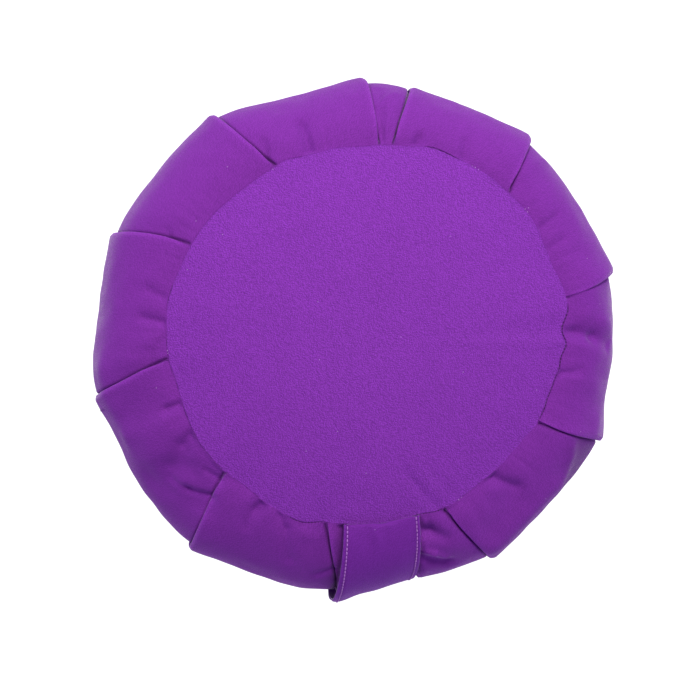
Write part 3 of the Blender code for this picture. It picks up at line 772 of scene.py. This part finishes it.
def skin(name, grid, flat_place, facts):
    """Mesh over a grid of rings that closes round its columns and onto a pole at each end.

    flat_place holds each point's place on the uncut cloth in metres, with one more column than the
    grid, and becomes the UV map that the weave follows.
    """
    rings, columns = grid.shape[:2]
    quads, fans = ring_faces(rings, columns)
    points = np.vstack([grid.reshape(-1, 3), grid[[0, -1]].mean(axis=1)])
    values = {
        key: np.concatenate([np.broadcast_to(each, grid.shape[:2]).ravel(), np.zeros(2)])
        for key, each in facts.items()
    }
    made = new_piece(name, points, quads.tolist() + fans.tolist(), values)
    row, column = np.divmod(quads[:, :1], columns)
    flat = [flat_place[row + (0, 1, 1, 0), column + (0, 0, 1, 1)]]
    here = np.arange(columns)
    for ring, corners in ((0, (here, here + 1)), (-1, (here + 1, here))):
        pole = np.broadcast_to(flat_place[ring, :-1].mean(axis=0), (columns, 2))
        places = [pole, flat_place[ring, corners[0]], flat_place[ring, corners[1]]]
        flat.append(np.stack(places, axis=1))
    flat = np.concatenate([part.reshape(-1, 2) for part in flat])
    made.data.uv_layers.new(name="cloth").data.foreach_set("uv", flat.ravel().astype(np.float32))
    return made


# The cotton twill of all four pieces: its sizes, how far its slubs and blotches are drawn out, and
# how much each of its parts lightens or darkens the cloth.
YARN_WIDTH = 0.00045
WEFT_LOWERED = 0.45
SLUB_STRETCH = (1700.0, 160.0, 1.0)
BLOTCH_STRETCH = (38.0, 38.0, 1.0)
BLOTCH_DETAIL = 3.0
SHARE_OF_BESIDE = 0.4
MIDDLE_TONE = 0.3
MIDDLE_CROSSING = 0.35
CROSSING_TONE = 0.16
SLUB_TONE = 0.08
BLOTCH_TONE = 0.07
# Painted shade: how much the crease mask darkens the cloth in fold gutters, under the strap, in a
# flap's shadow and on the strap's groove and inner face.
CREASE_PAINTED_SHADE = 0.55
# How much lighter worn edges are painted: wear and a painted highlight.
WORN_HIGHLIGHT_LIGHTNESS = 0.14
# Painted shade in the seam's groove: how uneven it is, how dark, and how much lighter at each
# stitch.
SEAM_PATCHES = 26.0
SEAM_UNEVENNESS = 1.6
SEAM_DARKNESS = (0.60, 0.90)
SEAM_PULL = 0.7
FLECK_CHANCE = 0.00015
FLECK_DOME = 0.55
FLECK_STRENGTH = 0.42
FLECK_COLOUR = (0.78, 0.62, 0.84, 1.0)


def cotton_twill_group():
    """Cotton twill from a place on the cloth in metres: its colour and its height.

    The cloth is a grid of crossings one yarn wide. Each has its own tone, a random number of its
    cell less a share of the one diagonally beside it, which keeps the grain fine, and a rounded
    top, the sine across it times the sine along it. One crossing in three of each row is the weft,
    which lies lower, a cell further on in each next row. Slubs are noise drawn out along the yarns.
    Where cloth lies in shade it is painted darker, worn flap edges are painted lighter, partly wear
    and partly a painted highlight, and a few cells of a coarser grid hold a light fleck.
    A seam's groove gets painted shade, darkest between its stitches, which are a cosine of the
    angle, and unevenly so, a noise of it.
    """
    group = bpy.data.node_groups.new("cotton_twill", "ShaderNodeTree")
    kinds = {"Place": "Vector", "Colour": "Color"}
    for way, names in (
        ("INPUT", ("Place", "Colour", "Yarn Width", "Grain", "Crease", "Seam", "Wear_highlight")),
        ("OUTPUT", ("Colour", "Height")),
    ):
        for name in names:
            kind = "NodeSocket" + kinds.get(name, "Float")
            group.interface.new_socket(name, in_out=way, socket_type=kind)
    enter = group.nodes.new("NodeGroupInput")
    place, colour, yarn_width, grain, crease, seam, wear_highlight = enter.outputs[:7]

    def worked_out(kind, operation, *values):
        return add_node(group, kind, dict(enumerate(values)), operation=operation).outputs[0]

    calc = partial(worked_out, "Math")
    vector = partial(worked_out, "VectorMath")
    plus, minus, times = (partial(calc, name) for name in ("ADD", "SUBTRACT", "MULTIPLY"))

    def scaled(a, by):
        return add_node(group, "VectorMath", {0: a, "Scale": by}, operation="SCALE").outputs[0]

    def parts(a):
        return add_node(group, "SeparateXYZ", {0: a}).outputs[:2]

    def lottery(cell):
        made = add_node(group, "TexWhiteNoise", {"Vector": cell}, noise_dimensions="2D")
        return made.outputs["Value"]

    def noise(dimensions, scale, detail, **place):
        inputs = {"Scale": scale, "Detail": detail, **place}
        made = add_node(group, "TexNoise", inputs, noise_dimensions=dimensions)
        return minus(made.outputs[0], 0.5)

    def streaks(stretch, detail):
        mapping = add_node(group, "Mapping", {"Vector": place, "Scale": stretch})
        return noise("2D", 1.0, detail, Vector=mapping.outputs["Vector"])

    def dome(inside):
        across, along = parts(inside)
        return times(calc("SINE", times(across, math.pi)), calc("SINE", times(along, math.pi)))

    yarns = scaled(place, calc("DIVIDE", 1.0, yarn_width))
    cell = vector("FLOOR", yarns)
    weft = calc("LESS_THAN", calc("FLOORED_MODULO", plus(*parts(cell)), 3.0), 0.5)
    crossing = times(dome(vector("FRACTION", yarns)), minus(1.0, times(weft, WEFT_LOWERED)))
    along, across, depth = SLUB_STRETCH
    slubs = plus(streaks((along, across, depth), 1.0), streaks((across, along, depth), 1.0))
    blotches = streaks(BLOTCH_STRETCH, BLOTCH_DETAIL)

    # Painted shade in the seam's groove, darker between the stitches where the seam gapes.
    spot = add_node(group, "TexCoord", {})
    east, north = parts(spot.outputs["Object"])
    turn = calc("ARCTAN2", north, east)
    pulls = times(calc("COSINE", times(turn, SEAM_STITCHES)), seam)
    uneven = times(noise("1D", SEAM_PATCHES, 2.0, W=turn), SEAM_UNEVENNESS)
    painted_gap_shade = minus(plus(uneven, SEAM_DARKNESS[0]), times(pulls, SEAM_PULL))
    painted_gap_shade = calc("MINIMUM", calc("MAXIMUM", painted_gap_shade, 0.0), SEAM_DARKNESS[1])

    beside = lottery(vector("ADD", cell, (1.0, 1.0, 0.0)))
    uneven_dye = minus(lottery(cell), times(beside, SHARE_OF_BESIDE))
    tone = times(minus(uneven_dye, MIDDLE_TONE), grain)
    light = plus(plus(tone, 1.0), times(minus(crossing, MIDDLE_CROSSING), CROSSING_TONE))
    light = plus(light, times(slubs, SLUB_TONE))
    light = plus(light, times(blotches, BLOTCH_TONE))
    # Painted shade, where the crease mask says the cloth lies in shade.
    light = times(light, minus(1.0, times(crease, CREASE_PAINTED_SHADE)))
    # Painted shade in the seam's groove.
    light = times(light, minus(1.0, times(seam, painted_gap_shade)))
    # Wear and painted highlight: worn flap and strap edges are lighter.
    light = times(light, plus(1.0, times(wear_highlight, WORN_HIGHLIGHT_LIGHTNESS)))

    coarse = scaled(place, calc("DIVIDE", 0.5, yarn_width))
    chosen = calc("GREATER_THAN", lottery(vector("FLOOR", coarse)), 1 - FLECK_CHANCE)
    speck = times(chosen, calc("GREATER_THAN", dome(vector("FRACTION", coarse)), FLECK_DOME))
    fleck = add_node(group, "Mix", {
        "Factor": times(speck, FLECK_STRENGTH), "A": scaled(colour, light), "B": FLECK_COLOUR,
    }, data_type="RGBA")
    leave = group.nodes.new("NodeGroupOutput")
    plug(leave, {"Colour": fleck.outputs["Result"], "Height": plus(crossing, slubs)})
    return group


cotton_twill = cotton_twill_group()


def cloth_material(name, colour, grain):
    """Matt cotton: twill colour and relief, fuzz from sheen, painted shade, worn fold edges with a
    painted highlight.
    """
    material, tree, shader = new_material(name)
    place = add_node(tree, "UVMap", {}, uv_map="cloth").outputs["UV"]
    # Masks of painted shade (crease: folds, under the strap, a flap's shadow; seam: the seam's
    # groove) and of worn flap edges with a painted highlight.
    masks = {
        mask.capitalize(): add_node(tree, "Attribute", {}, attribute_name=mask).outputs["Fac"]
        for mask in ("crease", "seam", "wear_highlight")
    }
    inputs = {"Place": place, "Colour": colour, "Yarn Width": YARN_WIDTH, "Grain": grain, **masks}
    twill = add_node(tree, "Group", inputs, node_tree=cotton_twill)
    relief = add_node(tree, "Bump", {
        "Strength": 0.35, "Distance": 0.0002, "Height": twill.outputs["Height"],
    })
    plug(shader, {
        "Base Color": twill.outputs["Colour"], "Normal": relief.outputs["Normal"],
        "Roughness": 0.95, "Specular IOR Level": 0.12,
        "Sheen Weight": 0.28, "Sheen Roughness": 0.30, "Sheen Tint": (0.88, 0.85, 0.88, 1.0),
    })
    return material


def with_beds(values):
    """A grid's values with its first and last ring said twice, for the beds of the panels."""
    return np.concatenate([values[:1], values, values[-1:]])


# The waves of the side cloth come from a cloth simulation: a coarse net of the side is cut too long
# for its seams, as gathered cloth is, pinned along both and blown out by the filling. It is ten
# times as big as the cushion, and only its rise or fall beside its neighbours is laid on the side.
NET_COLUMNS = 320
NET_RINGS = 40
NET_CROWDING = 0.75
NET_SCALE = 10.0
NET_FRAMES = 20
NET_CLOTH = {
    "use_pressure": True, "uniform_pressure_force": 20.0, "mass": 0.1, "quality": 5,
    "tension_stiffness": 60.0, "compression_stiffness": 5.0,
    "shear_stiffness": 2.0, "bending_stiffness": 0.3,
}
NET_EASE = 0.25
NET_EASE_LEAST = 0.45
NET_EASE_REACH = 0.016
NET_EASE_HALF_WIDTH_DEG = 5.0
NET_START_DENT = 0.0006
NET_DENT_RUN = 0.004
WAVE_BLUR_STEPS = 60
WAVE_STRENGTH = 2.6
WAVE_LIMIT = 0.0009
net_deg = np.arange(NET_COLUMNS) * 360 / NET_COLUMNS
net_v = np.linspace(0.0, 1.0, NET_RINGS)
net_v = net_v - NET_CROWDING * np.sin(2 * np.pi * net_v) / (2 * np.pi)


def net_ease(degrees, from_seam):
    """How much too long the net is for its seam, as a share: most where a crease meets the seam.

    It is a bell curve of the angle round each crease, over a least value, and fades out from the
    seam.
    """
    share = np.full(degrees.shape, NET_EASE_LEAST)
    for crease in CREASES:
        if crease.depth < 0:
            aside = degrees_from(crease.deg_from, degrees)
            share = np.maximum(share, bell(aside, NET_EASE_HALF_WIDTH_DEG))
    return NET_EASE * share * bell(from_seam, NET_EASE_REACH)


def blown_out(points, cut):
    """The net's points after its simulation, from where they start and where they are when cut."""
    faces = ring_faces(NET_RINGS, NET_COLUMNS)[0]
    net = new_piece("side_net", (points * NET_SCALE).reshape(-1, 3), faces.tolist())
    net.shape_key_add(name="sewn")
    uncut = net.shape_key_add(name="cut")
    uncut.data.foreach_set("co", (cut * NET_SCALE).ravel().astype(np.float32))
    uncut.value = 0.0
    pins = net.vertex_groups.new(name="seams")
    last = (NET_RINGS - 1) * NET_COLUMNS
    pins.add([*range(NET_COLUMNS), *range(last, last + NET_COLUMNS)], 1.0, "REPLACE")
    settings = net.modifiers.new("cloth", "CLOTH").settings
    settings.vertex_group_mass = "seams"
    settings.rest_shape_key = uncut
    settings.effector_weights.gravity = 0.0
    for key, value in NET_CLOTH.items():
        setattr(settings, key, value)
    for step in range(1, NET_FRAMES + 1):
        bpy.context.scene.frame_set(step)
    settled = net.evaluated_get(bpy.context.evaluated_depsgraph_get()).data
    moved = np.empty(points.size, np.float32)
    settled.vertices.foreach_get("co", moved)
    bpy.data.objects.remove(net)
    bpy.context.scene.frame_set(1)
    return moved.reshape(points.shape).astype(float) / NET_SCALE


def net_waves():
    """Height of the waves at each point of the net, from its simulation, in metres.

    The cut cloth is wider than the sewn one by its ease, with the same lengths down the side. The
    net starts with shallow dents at the seams' puckers, so that it buckles there.
    """
    degrees, v = np.meshgrid(net_deg, net_v)
    radius, height, across, upward, _ = side_section(degrees, v)
    steps, down = length_down(radius, height)
    from_seam = np.minimum(down, down[-1] - down)
    cut_radius = radius * (1 + net_ease(degrees, from_seam))
    least_fall = 0.2 * steps
    falls = np.sqrt(np.maximum(steps**2 - np.diff(cut_radius, axis=0) ** 2, least_fall**2))
    cut_height = np.vstack([np.zeros((1, NET_COLUMNS)), -np.cumsum(falls, axis=0)])
    dent = pucker_height(degrees, down, down[-1], seed=5) * from_seam / NET_DENT_RUN
    dent = np.clip(dent, -NET_START_DENT, 0.0)
    sewn = place_round(radius + dent * across, degrees, height + dent * upward)
    moved = blown_out(sewn, place_round(cut_radius, degrees, cut_height))
    way_out = place_round(across, degrees, upward)
    rise = ((moved - sewn) * way_out).sum(axis=-1) + dent
    level = rise
    for _ in range(WAVE_BLUR_STEPS):
        level = 0.5 * level + 0.25 * (np.roll(level, 1, axis=1) + np.roll(level, -1, axis=1))
    return WAVE_LIMIT * np.tanh(WAVE_STRENGTH * (rise - level) / WAVE_LIMIT)


net_height = net_waves()


def side_waves(degrees, v):
    """Height of the side's waves: cubic curves through the net's heights, down and then round."""
    columns = through_points(np.broadcast_to(v, (v.shape[0], NET_COLUMNS)), net_v, net_height)
    laps = np.arange(-3, NET_COLUMNS + 4)
    knots, heights = laps * 360 / NET_COLUMNS, columns.T[laps % NET_COLUMNS]
    return through_points((degrees % 360).T, knots, heights).T


grid, side_flat, side_facts = side_surface(side_waves)
grid = with_beds(grid)
grid[0, :, 2] = TOP_SEAM_HEIGHT - BED_DEPTH
grid[-1, :, 2] = BOTTOM_SEAM_HEIGHT + BED_DEPTH
side_flat = with_beds(side_flat)
side_flat[0, :, 1] -= BED_DEPTH
side_flat[-1, :, 1] += BED_DEPTH
side_flat = np.concatenate([side_flat, side_flat[:, :1]], axis=1)
side_facts = {key: with_beds(values) for key, values in side_facts.items()}
side_band = skin("side_band", grid, side_flat, side_facts)
side_band.data.materials.append(cloth_material("side_cotton", SIDE_COLOUR, SIDE_GRAIN))
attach(side_band, "root")
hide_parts("filled_side_body")

# The top panel: one round of the same cotton, sewn to the side band and crowned by the filling. Its
# edge rounds down into the seam, which lies in a shallow groove.
TOP_CROWN = 0.017
CROWN_POWER = 2.5
PANEL_THICKNESS = 0.0012
PANEL_RINGS = 60
PANEL_RING_CROWDING = 0.35
PANEL_COLUMNS = 480
PANEL_GRAIN = 0.75
# The same cotton as the side, painted lighter: a lit copy of it.
TOP_LIT_COLOUR = (0.254, 0.039, 0.468, 1.0)
TOP_SWELL = 0.0004
TOP_SWELL_TURN_DEG = 40
TOP_SWELL_PLACE = 0.05
TOP_SWELL_HALF_WIDTH = 0.03
TOP_PUCKER_SHARE = 0.6
TOP_CREASES = creases(
    (287.9, 29, 294.2, 3, 5, -1, 2),
    (298.0, 22, 300.5, 6, 6, -0.5, 2),
    (262.0, 20, 268.0, 16, 8, -0.5, 2),
)
NO_FAR_SEAM = 9.0


def top_panel_height(share):
    """Height of the top panel at a share of the way to the seam: a crown, steeper outward."""
    return TOP_SEAM_HEIGHT + TOP_CROWN * (1 - share**CROWN_POWER)


def top_softness(degrees, from_seam):
    """The top panel's puckers at its seam, its soft creases, and a swell, two sine waves round."""
    swell = TOP_SWELL * np.sin(np.radians(degrees * 2 + TOP_SWELL_TURN_DEG))
    swell = swell * bell(from_seam - TOP_SWELL_PLACE, TOP_SWELL_HALF_WIDTH)
    puckers = pucker_height(degrees, from_seam, NO_FAR_SEAM, seed=23) * TOP_PUCKER_SHARE
    return puckers + swell + crease_height(degrees, from_seam, TOP_CREASES)


def panel_grid(seam_radius, face_height, soften, side):
    """A panel's skin: its face in rings from the middle out, round the edge, and back under.

    The edge is a quarter ellipse, the seam's shoulder, and the back lies PANEL_THICKNESS behind the
    face.
    """
    degrees = np.arange(PANEL_COLUMNS) * 360 / PANEL_COLUMNS
    seam = seam_radius(degrees)
    even = np.linspace(0.0, 1.0, PANEL_RINGS + 1)[1:]
    shares = (even + PANEL_RING_CROWDING * np.sin(np.pi * even) / np.pi)[:, None]
    ramp = np.linspace(0.0, math.pi / 2, SHOULDER_RINGS)[1:, None]
    face_radius = (seam - seam_size(degrees, GAPE) - SHOULDER) * shares
    face_z = face_height(face_radius / seam) + soften(degrees, seam - face_radius)
    edge_radius = face_radius[-1] + SHOULDER * np.sin(ramp)
    edge_z = face_z[-1] - side * seam_size(degrees, SHOULDER_DROP) * (1 - np.cos(ramp))
    radius = np.vstack([face_radius, edge_radius, face_radius[::-4]])
    height = np.vstack([face_z, edge_z, face_z[::-4] - side * PANEL_THICKNESS])
    points = place_round(radius, degrees, height)
    shade = seam_shade(degrees, seam - radius)
    return (points, shade) if side == 1 else (points[::-1], shade[::-1])


def make_panel(name, node, seam_radius, face_height, soften, side, colour):
    """A panel's object, with the weave straight across it. side is 1 facing up and -1 down."""
    points, shade = panel_grid(seam_radius, face_height, soften, side)
    flat = np.concatenate([points, points[:, :1]], axis=1)[..., :2]
    panel = skin(name, points, flat, {"crease": 0.0, "seam": shade, "wear_highlight": 0.0})
    panel.data.materials.append(cloth_material(name + "_cotton", colour, PANEL_GRAIN))
    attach(panel, "root")
    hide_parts(node)
    return panel


top_panel = make_panel(
    "top_round", "top_panel", top_seam_radius, top_panel_height, top_softness, 1,
    TOP_LIT_COLOUR,
)

# The bottom panel: another round of the cotton, flat on the floor and turned up to its seam, with
# shallow puckers there. Its seam is a plain circle.
REST_RADIUS = 0.104
BOTTOM_TURN_POWER = 1.7
BOTTOM_COLOUR = (0.246, 0.036, 0.420, 1.0)


def bottom_seam_radius(degrees):
    """Radius of the bottom seam, the same at all angles."""
    return np.full(np.shape(degrees), BOTTOM_SEAM_RADIUS)


def bottom_panel_height(share):
    """Height of the bottom panel's face: 0 to REST_RADIUS, then a power of the way to the seam."""
    start = REST_RADIUS / BOTTOM_SEAM_RADIUS
    t = np.clip((share - start) / (1 - start), 0.0, 1.0)
    return BOTTOM_SEAM_HEIGHT * t**BOTTOM_TURN_POWER


def bottom_softness(degrees, from_seam):
    """The bottom panel's puckers, which are dents from below."""
    return -pucker_height(degrees, from_seam, NO_FAR_SEAM, seed=31)


bottom_panel = make_panel(
    "bottom_round", "bottom_panel", bottom_seam_radius, bottom_panel_height, bottom_softness, -1,
    BOTTOM_COLOUR,
)

# The carry strap: a strip of the cotton folded to a flat band, topstitched along both edges, caught
# in the top and bottom seams, and a little slack below the widest line.
STRAP_RINGS = 110
STRAP_ACROSS = 41
STRAP_EDGE_STEPS = 6
STRAP_HALF_WIDTH = 0.027
STRAP_GIRTH = 0.115
# The same cotton as the side, painted darker: a shaded copy of it.
STRAP_SHADED_COLOUR = (0.206, 0.0265, 0.390, 1.0)
STRAP_WIDE_RING = 60
STITCH_INSET = 0.0035
STITCH_GROOVE = 0.00035
STITCH_GROOVE_HALF_WIDTH = 0.0008
DEEPEST_DENT = -0.0004

# Shallow dents and swells of the strap, each at a place across it (-1 to 1) and down it.
Dent = namedtuple("Dent", "across v half_width half_length height")
STRAP_DENTS = [Dent(*row) for row in (
    (-0.70, 0.06, 0.18, 0.06, 0.0006),
    (-0.36, 0.04, 0.07, 0.04, -0.0008),
    (-0.15, 0.045, 0.10, 0.035, 0.0010),
    (0.10, 0.03, 0.05, 0.04, -0.0006),
    (0.50, 0.17, 0.25, 0.09, 0.0005),
    (-0.60, 0.40, 0.22, 0.06, -0.0006),
    (0.25, 0.30, 0.25, 0.08, 0.0005),
    (-0.72, 0.52, 0.20, 0.08, 0.0008),
    (-0.34, 0.52, 0.16, 0.08, -0.0008),
    (0.10, 0.52, 0.25, 0.08, 0.0007),
)]


def strap_relief(across, v):
    """Sum of the strap's dents: each a bell curve across it times a bell curve down it."""
    total = 0.0
    for dent in STRAP_DENTS:
        aside = ((across - dent.across) / dent.half_width) ** 2
        away = ((v - dent.v) / dent.half_length) ** 2
        total = total + dent.height * np.exp(-(aside + away))
    return np.maximum(total, DEEPEST_DENT)


def strap_slack(v):
    """How far the strap hangs off the side below the widest line: a squared sine."""
    t = np.clip((v - STRAP_SLACK_FROM) / (STRAP_SLACK_TO - STRAP_SLACK_FROM), 0.0, 1.0)
    return STRAP_SLACK * np.sin(np.pi * t) ** 2


def strap_point(across, v, stand):
    """A place over the strap's inner face: across from edge to edge, v down it, stand above it."""
    degrees = strap_middle(v) + across * strap_half_angle(v)
    radius, height, sideways, upward, _ = side_section(degrees, v)
    rise = strap_stand(across, v) + strap_slack(v) + strap_relief(across, v) + stand
    return place_round(radius + rise * sideways, degrees, height + rise * upward)


def strap_groove(across, v):
    """Depth of the line that the topstitching draws into the strap, near both edges."""
    half_width = np.radians(strap_half_angle(v)) * RIM_RADIUS
    from_edge = (1 - np.abs(across)) * half_width
    return STITCH_GROOVE * bell(from_edge - STITCH_INSET, STITCH_GROOVE_HALF_WIDTH)


def strap_ring():
    """One ring round the strap: its places across, and how much of its thickness each stands up.

    It runs over the outer face, round an edge that is half a circle, back over the inner face and
    up round the other edge.
    """
    face = np.linspace(-1.0, 1.0, STRAP_ACROSS)
    turn = np.linspace(0.0, math.pi, STRAP_EDGE_STEPS + 2)[1:-1]
    edge_out = np.sin(turn) * STRAP_THICKNESS / 2 / STRAP_HALF_WIDTH
    edge_up = (1 + np.cos(turn)) / 2
    across = np.concatenate([face, 1 + edge_out, face[::-1], -1 - edge_out])
    inset = np.clip(across, -1, 1) * (1 - STRAP_THICKNESS / 2 / STRAP_HALF_WIDTH)
    share = np.concatenate([np.ones(STRAP_ACROSS), edge_up, np.zeros(STRAP_ACROSS), edge_up[::-1]])
    return inset + (across - np.clip(across, -1, 1)), share


def steps_along(line):
    """Lengths between neighbouring points of a line."""
    return np.linalg.norm(np.diff(line, axis=0), axis=1)


v = np.linspace(0.0, 1.0, STRAP_RINGS)[:, None]
ring_across, ring_share = strap_ring()
groove = strap_groove(ring_across, v)
stand = ring_share * (STRAP_THICKNESS - groove) + (1 - ring_share) * groove * 0.5
grid = strap_point(ring_across, v, stand)
around = np.concatenate([[0.0], np.cumsum(steps_along(grid[STRAP_WIDE_RING])), [STRAP_GIRTH]])
down_strap = np.cumsum(np.concatenate([[0.0], steps_along(grid[:, STRAP_ACROSS // 2])]))
flat = np.stack(np.broadcast_arrays(around, down_strap[:, None]), axis=-1)
# The strap's painted shade: darker in the topstitching's groove and over its whole inner face,
# which lies against the side.
strap = skin("strap_band", grid, flat, {
    "crease": np.maximum(0.5 * groove / STITCH_GROOVE, 1 - ring_share),
    "seam": 0.0,
    # The strap's edges are painted lighter: wear and a painted highlight.
    "wear_highlight": bell((1 - np.abs(ring_across)) * STRAP_HALF_WIDTH, WORN_HIGHLIGHT_HALF_WIDTH) * ring_share,
})
strap.data.materials.append(cloth_material("strap_cotton", STRAP_SHADED_COLOUR, SIDE_GRAIN))
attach(strap, "root")
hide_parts("carry_strap")

# The sewing thread: stitches of pale pink cotton along both edges of the strap, and purple stitches
# across both seams, deep in the groove between side and panel but for a few that have worked loose.
THREAD_SIDES = 6
THREAD_STATIONS = np.array([0.0, 0.10, 0.28, 0.50, 0.72, 0.90, 1.0])
THREAD_FULLNESS = np.array([0.45, 0.85, 1.0, 1.0, 1.0, 0.85, 0.45])
STRAP_STITCH_PITCH = 0.0027
STRAP_STITCH_LENGTH = 0.0021
STRAP_STITCH_SUNK = 0.6 * STITCH_GROOVE
STRAP_LINE_STEPS = 400
STRAP_THREAD_RADIUS = 0.00040
SEAM_THREAD_RADIUS = 0.00022
SEAM_STITCH_SLANT = 0.0003
SEAM_STITCH_DEPTH = 0.0010
SEAM_STITCH_RISE = 0.00050
SEAM_STITCH_WANDER = 0.12
STRAP_THREAD_COLOURS = ((0.40, 0.12, 0.52, 1.0), (0.54, 0.22, 0.70, 1.0))
SEAM_THREAD_COLOURS = ((0.22, 0.04, 0.37, 1.0), (0.60, 0.34, 0.72, 1.0))
LooseStitches = namedtuple("LooseStitches", "deg half_width_deg")
LOOSE_STITCHES = (
    LooseStitches(56.4, 1.6),
    LooseStitches(38.2, 1.1),
    LooseStitches(183.2, 1.1),
    LooseStitches(301.6, 0.9),
)
LOOSE_STITCH_RISE = 0.0008


def thread_mesh(name, first, last, bulge, radius, pale):
    """Mesh of many stitches, closed at both ends, and how pale each is.

    A stitch runs from its first to its last point and bulges by its own vector, as half a sine
    along it, and its section is a ring of THREAD_SIDES points round that path.
    """
    count = len(first)
    t = THREAD_STATIONS[:, None]
    path = first[:, None] + (last - first)[:, None] * t + bulge[:, None] * np.sin(np.pi * t)
    forward = (last - first) / np.linalg.norm(last - first, axis=1, keepdims=True)
    outward = bulge / np.linalg.norm(bulge, axis=1, keepdims=True)
    sideways = np.cross(forward, outward)
    turn = (np.arange(THREAD_SIDES) * 2 * np.pi / THREAD_SIDES)[:, None]
    ring = np.cos(turn) * sideways[:, None] + np.sin(turn) * outward[:, None]
    rings = path[:, :, None] + radius * THREAD_FULLNESS[:, None, None] * ring[:, None]
    points = np.concatenate([rings.reshape(count, -1, 3), path[:, [0, -1]]], axis=1)
    quads, fans = ring_faces(len(THREAD_STATIONS), THREAD_SIDES)
    offset = (np.arange(count) * points.shape[1])[:, None, None]
    faces = (quads + offset).reshape(-1, 4).tolist() + (fans + offset).reshape(-1, 3).tolist()
    each = np.repeat(np.broadcast_to(pale, count), points.shape[1])
    made = new_piece(name, points.reshape(-1, 3), faces, {"pale": each})
    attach(made, "root")
    return made


def thread_material(name, colour, pale_colour):
    """Twisted cotton thread, mottled by fine noise: its colour, or the pale one where pale is 1."""
    material, tree, shader = new_material(name)
    place = add_node(tree, "TexCoord", {}).outputs["Object"]
    mottle = add_node(tree, "TexNoise", {"Scale": 2600.0, "Detail": 1.0, "Vector": place})
    mottle = mottle.outputs[0]
    pale = add_node(tree, "Attribute", {}, attribute_name="pale").outputs["Fac"]
    blend = add_node(tree, "Mix", {"Factor": pale, "A": colour, "B": pale_colour}, data_type="RGBA")
    light = add_node(tree, "MapRange", {"To Min": 0.55, "To Max": 1.45, "Value": mottle})
    tint = add_node(tree, "VectorMath", {
        0: blend.outputs["Result"], "Scale": light.outputs["Result"],
    }, operation="SCALE")
    relief = add_node(tree, "Bump", {"Strength": 0.5, "Distance": 0.0001, "Height": mottle})
    plug(shader, {
        "Base Color": tint.outputs[0], "Normal": relief.outputs["Normal"],
        "Roughness": 0.8, "Specular IOR Level": 0.2,
    })
    return material


def strap_stitches():
    """Ends and bulge of each stitch of the strap's two lines, evenly spaced down the cloth."""
    v = np.linspace(0.0, 1.0, STRAP_LINE_STEPS)
    length = np.concatenate([[0.0], np.cumsum(steps_along(strap_point(0.0, v, 0.0)))])
    margin = STRAP_STITCH_PITCH * 0.6
    middles = np.arange(margin, length[-1] - margin, STRAP_STITCH_PITCH)

    def places(shift, depth):
        at = np.interp(middles + shift * STRAP_STITCH_LENGTH, length, v)
        inset = 1 - STITCH_INSET / (np.radians(strap_half_angle(at)) * RIM_RADIUS)
        stand = STRAP_THICKNESS - depth
        return np.concatenate([strap_point(side * inset, at, stand) for side in (-1, 1)])

    first, last = (places(shift, STRAP_STITCH_SUNK) for shift in (-0.5, 0.5))
    bulge = places(-0.5, 0.0) - first
    bulge *= 0.8 * STRAP_THREAD_RADIUS / np.linalg.norm(bulge, axis=1, keepdims=True)
    return first, last, bulge


def seam_stitches(seam_radius, seam_height, side):
    """Ends, bulge and looseness of each stitch across a seam. side is 1 on top and -1 below."""
    count = SEAM_STITCHES
    random = np.random.default_rng(41 + side)
    wander = random.uniform(-SEAM_STITCH_WANDER, SEAM_STITCH_WANDER, count)
    degrees = (np.arange(count) + wander) * 360 / count
    seam = seam_radius(degrees)
    reach = seam_size(degrees, GAPE) + SHOULDER
    slant = np.degrees(SEAM_STITCH_SLANT / seam)
    loose = np.zeros(count)
    for group in LOOSE_STITCHES if side == 1 else ():
        aside = degrees_from(group.deg, degrees)
        loose = np.maximum(loose, np.exp(-((aside / group.half_width_deg) ** 4)))
    level = seam_height - side * SEAM_STITCH_DEPTH
    first = place_round(seam - reach, degrees - slant, level)
    last = place_round(seam + reach, degrees + slant, level)
    bulge = np.zeros((count, 3))
    bulge[:, 2] = side * (SEAM_STITCH_RISE + LOOSE_STITCH_RISE * loose)
    return first, last, bulge, loose


strap_thread = thread_mesh("strap_topstitching", *strap_stitches(), STRAP_THREAD_RADIUS, 1.0)
strap_thread.data.materials.append(thread_material("pale_thread", *STRAP_THREAD_COLOURS))
seam_thread_cotton = thread_material("purple_thread", *SEAM_THREAD_COLOURS)
for name, seam_radius, seam_height, side in (
    ("top_seam_stitches", top_seam_radius, TOP_SEAM_HEIGHT, 1),
    ("bottom_seam_stitches", bottom_seam_radius, BOTTOM_SEAM_HEIGHT, -1),
):
    first, last, bulge, loose = seam_stitches(seam_radius, seam_height, side)
    seam_thread = thread_mesh(name, first, last, bulge, SEAM_THREAD_RADIUS, loose)
    seam_thread.data.materials.append(seam_thread_cotton)
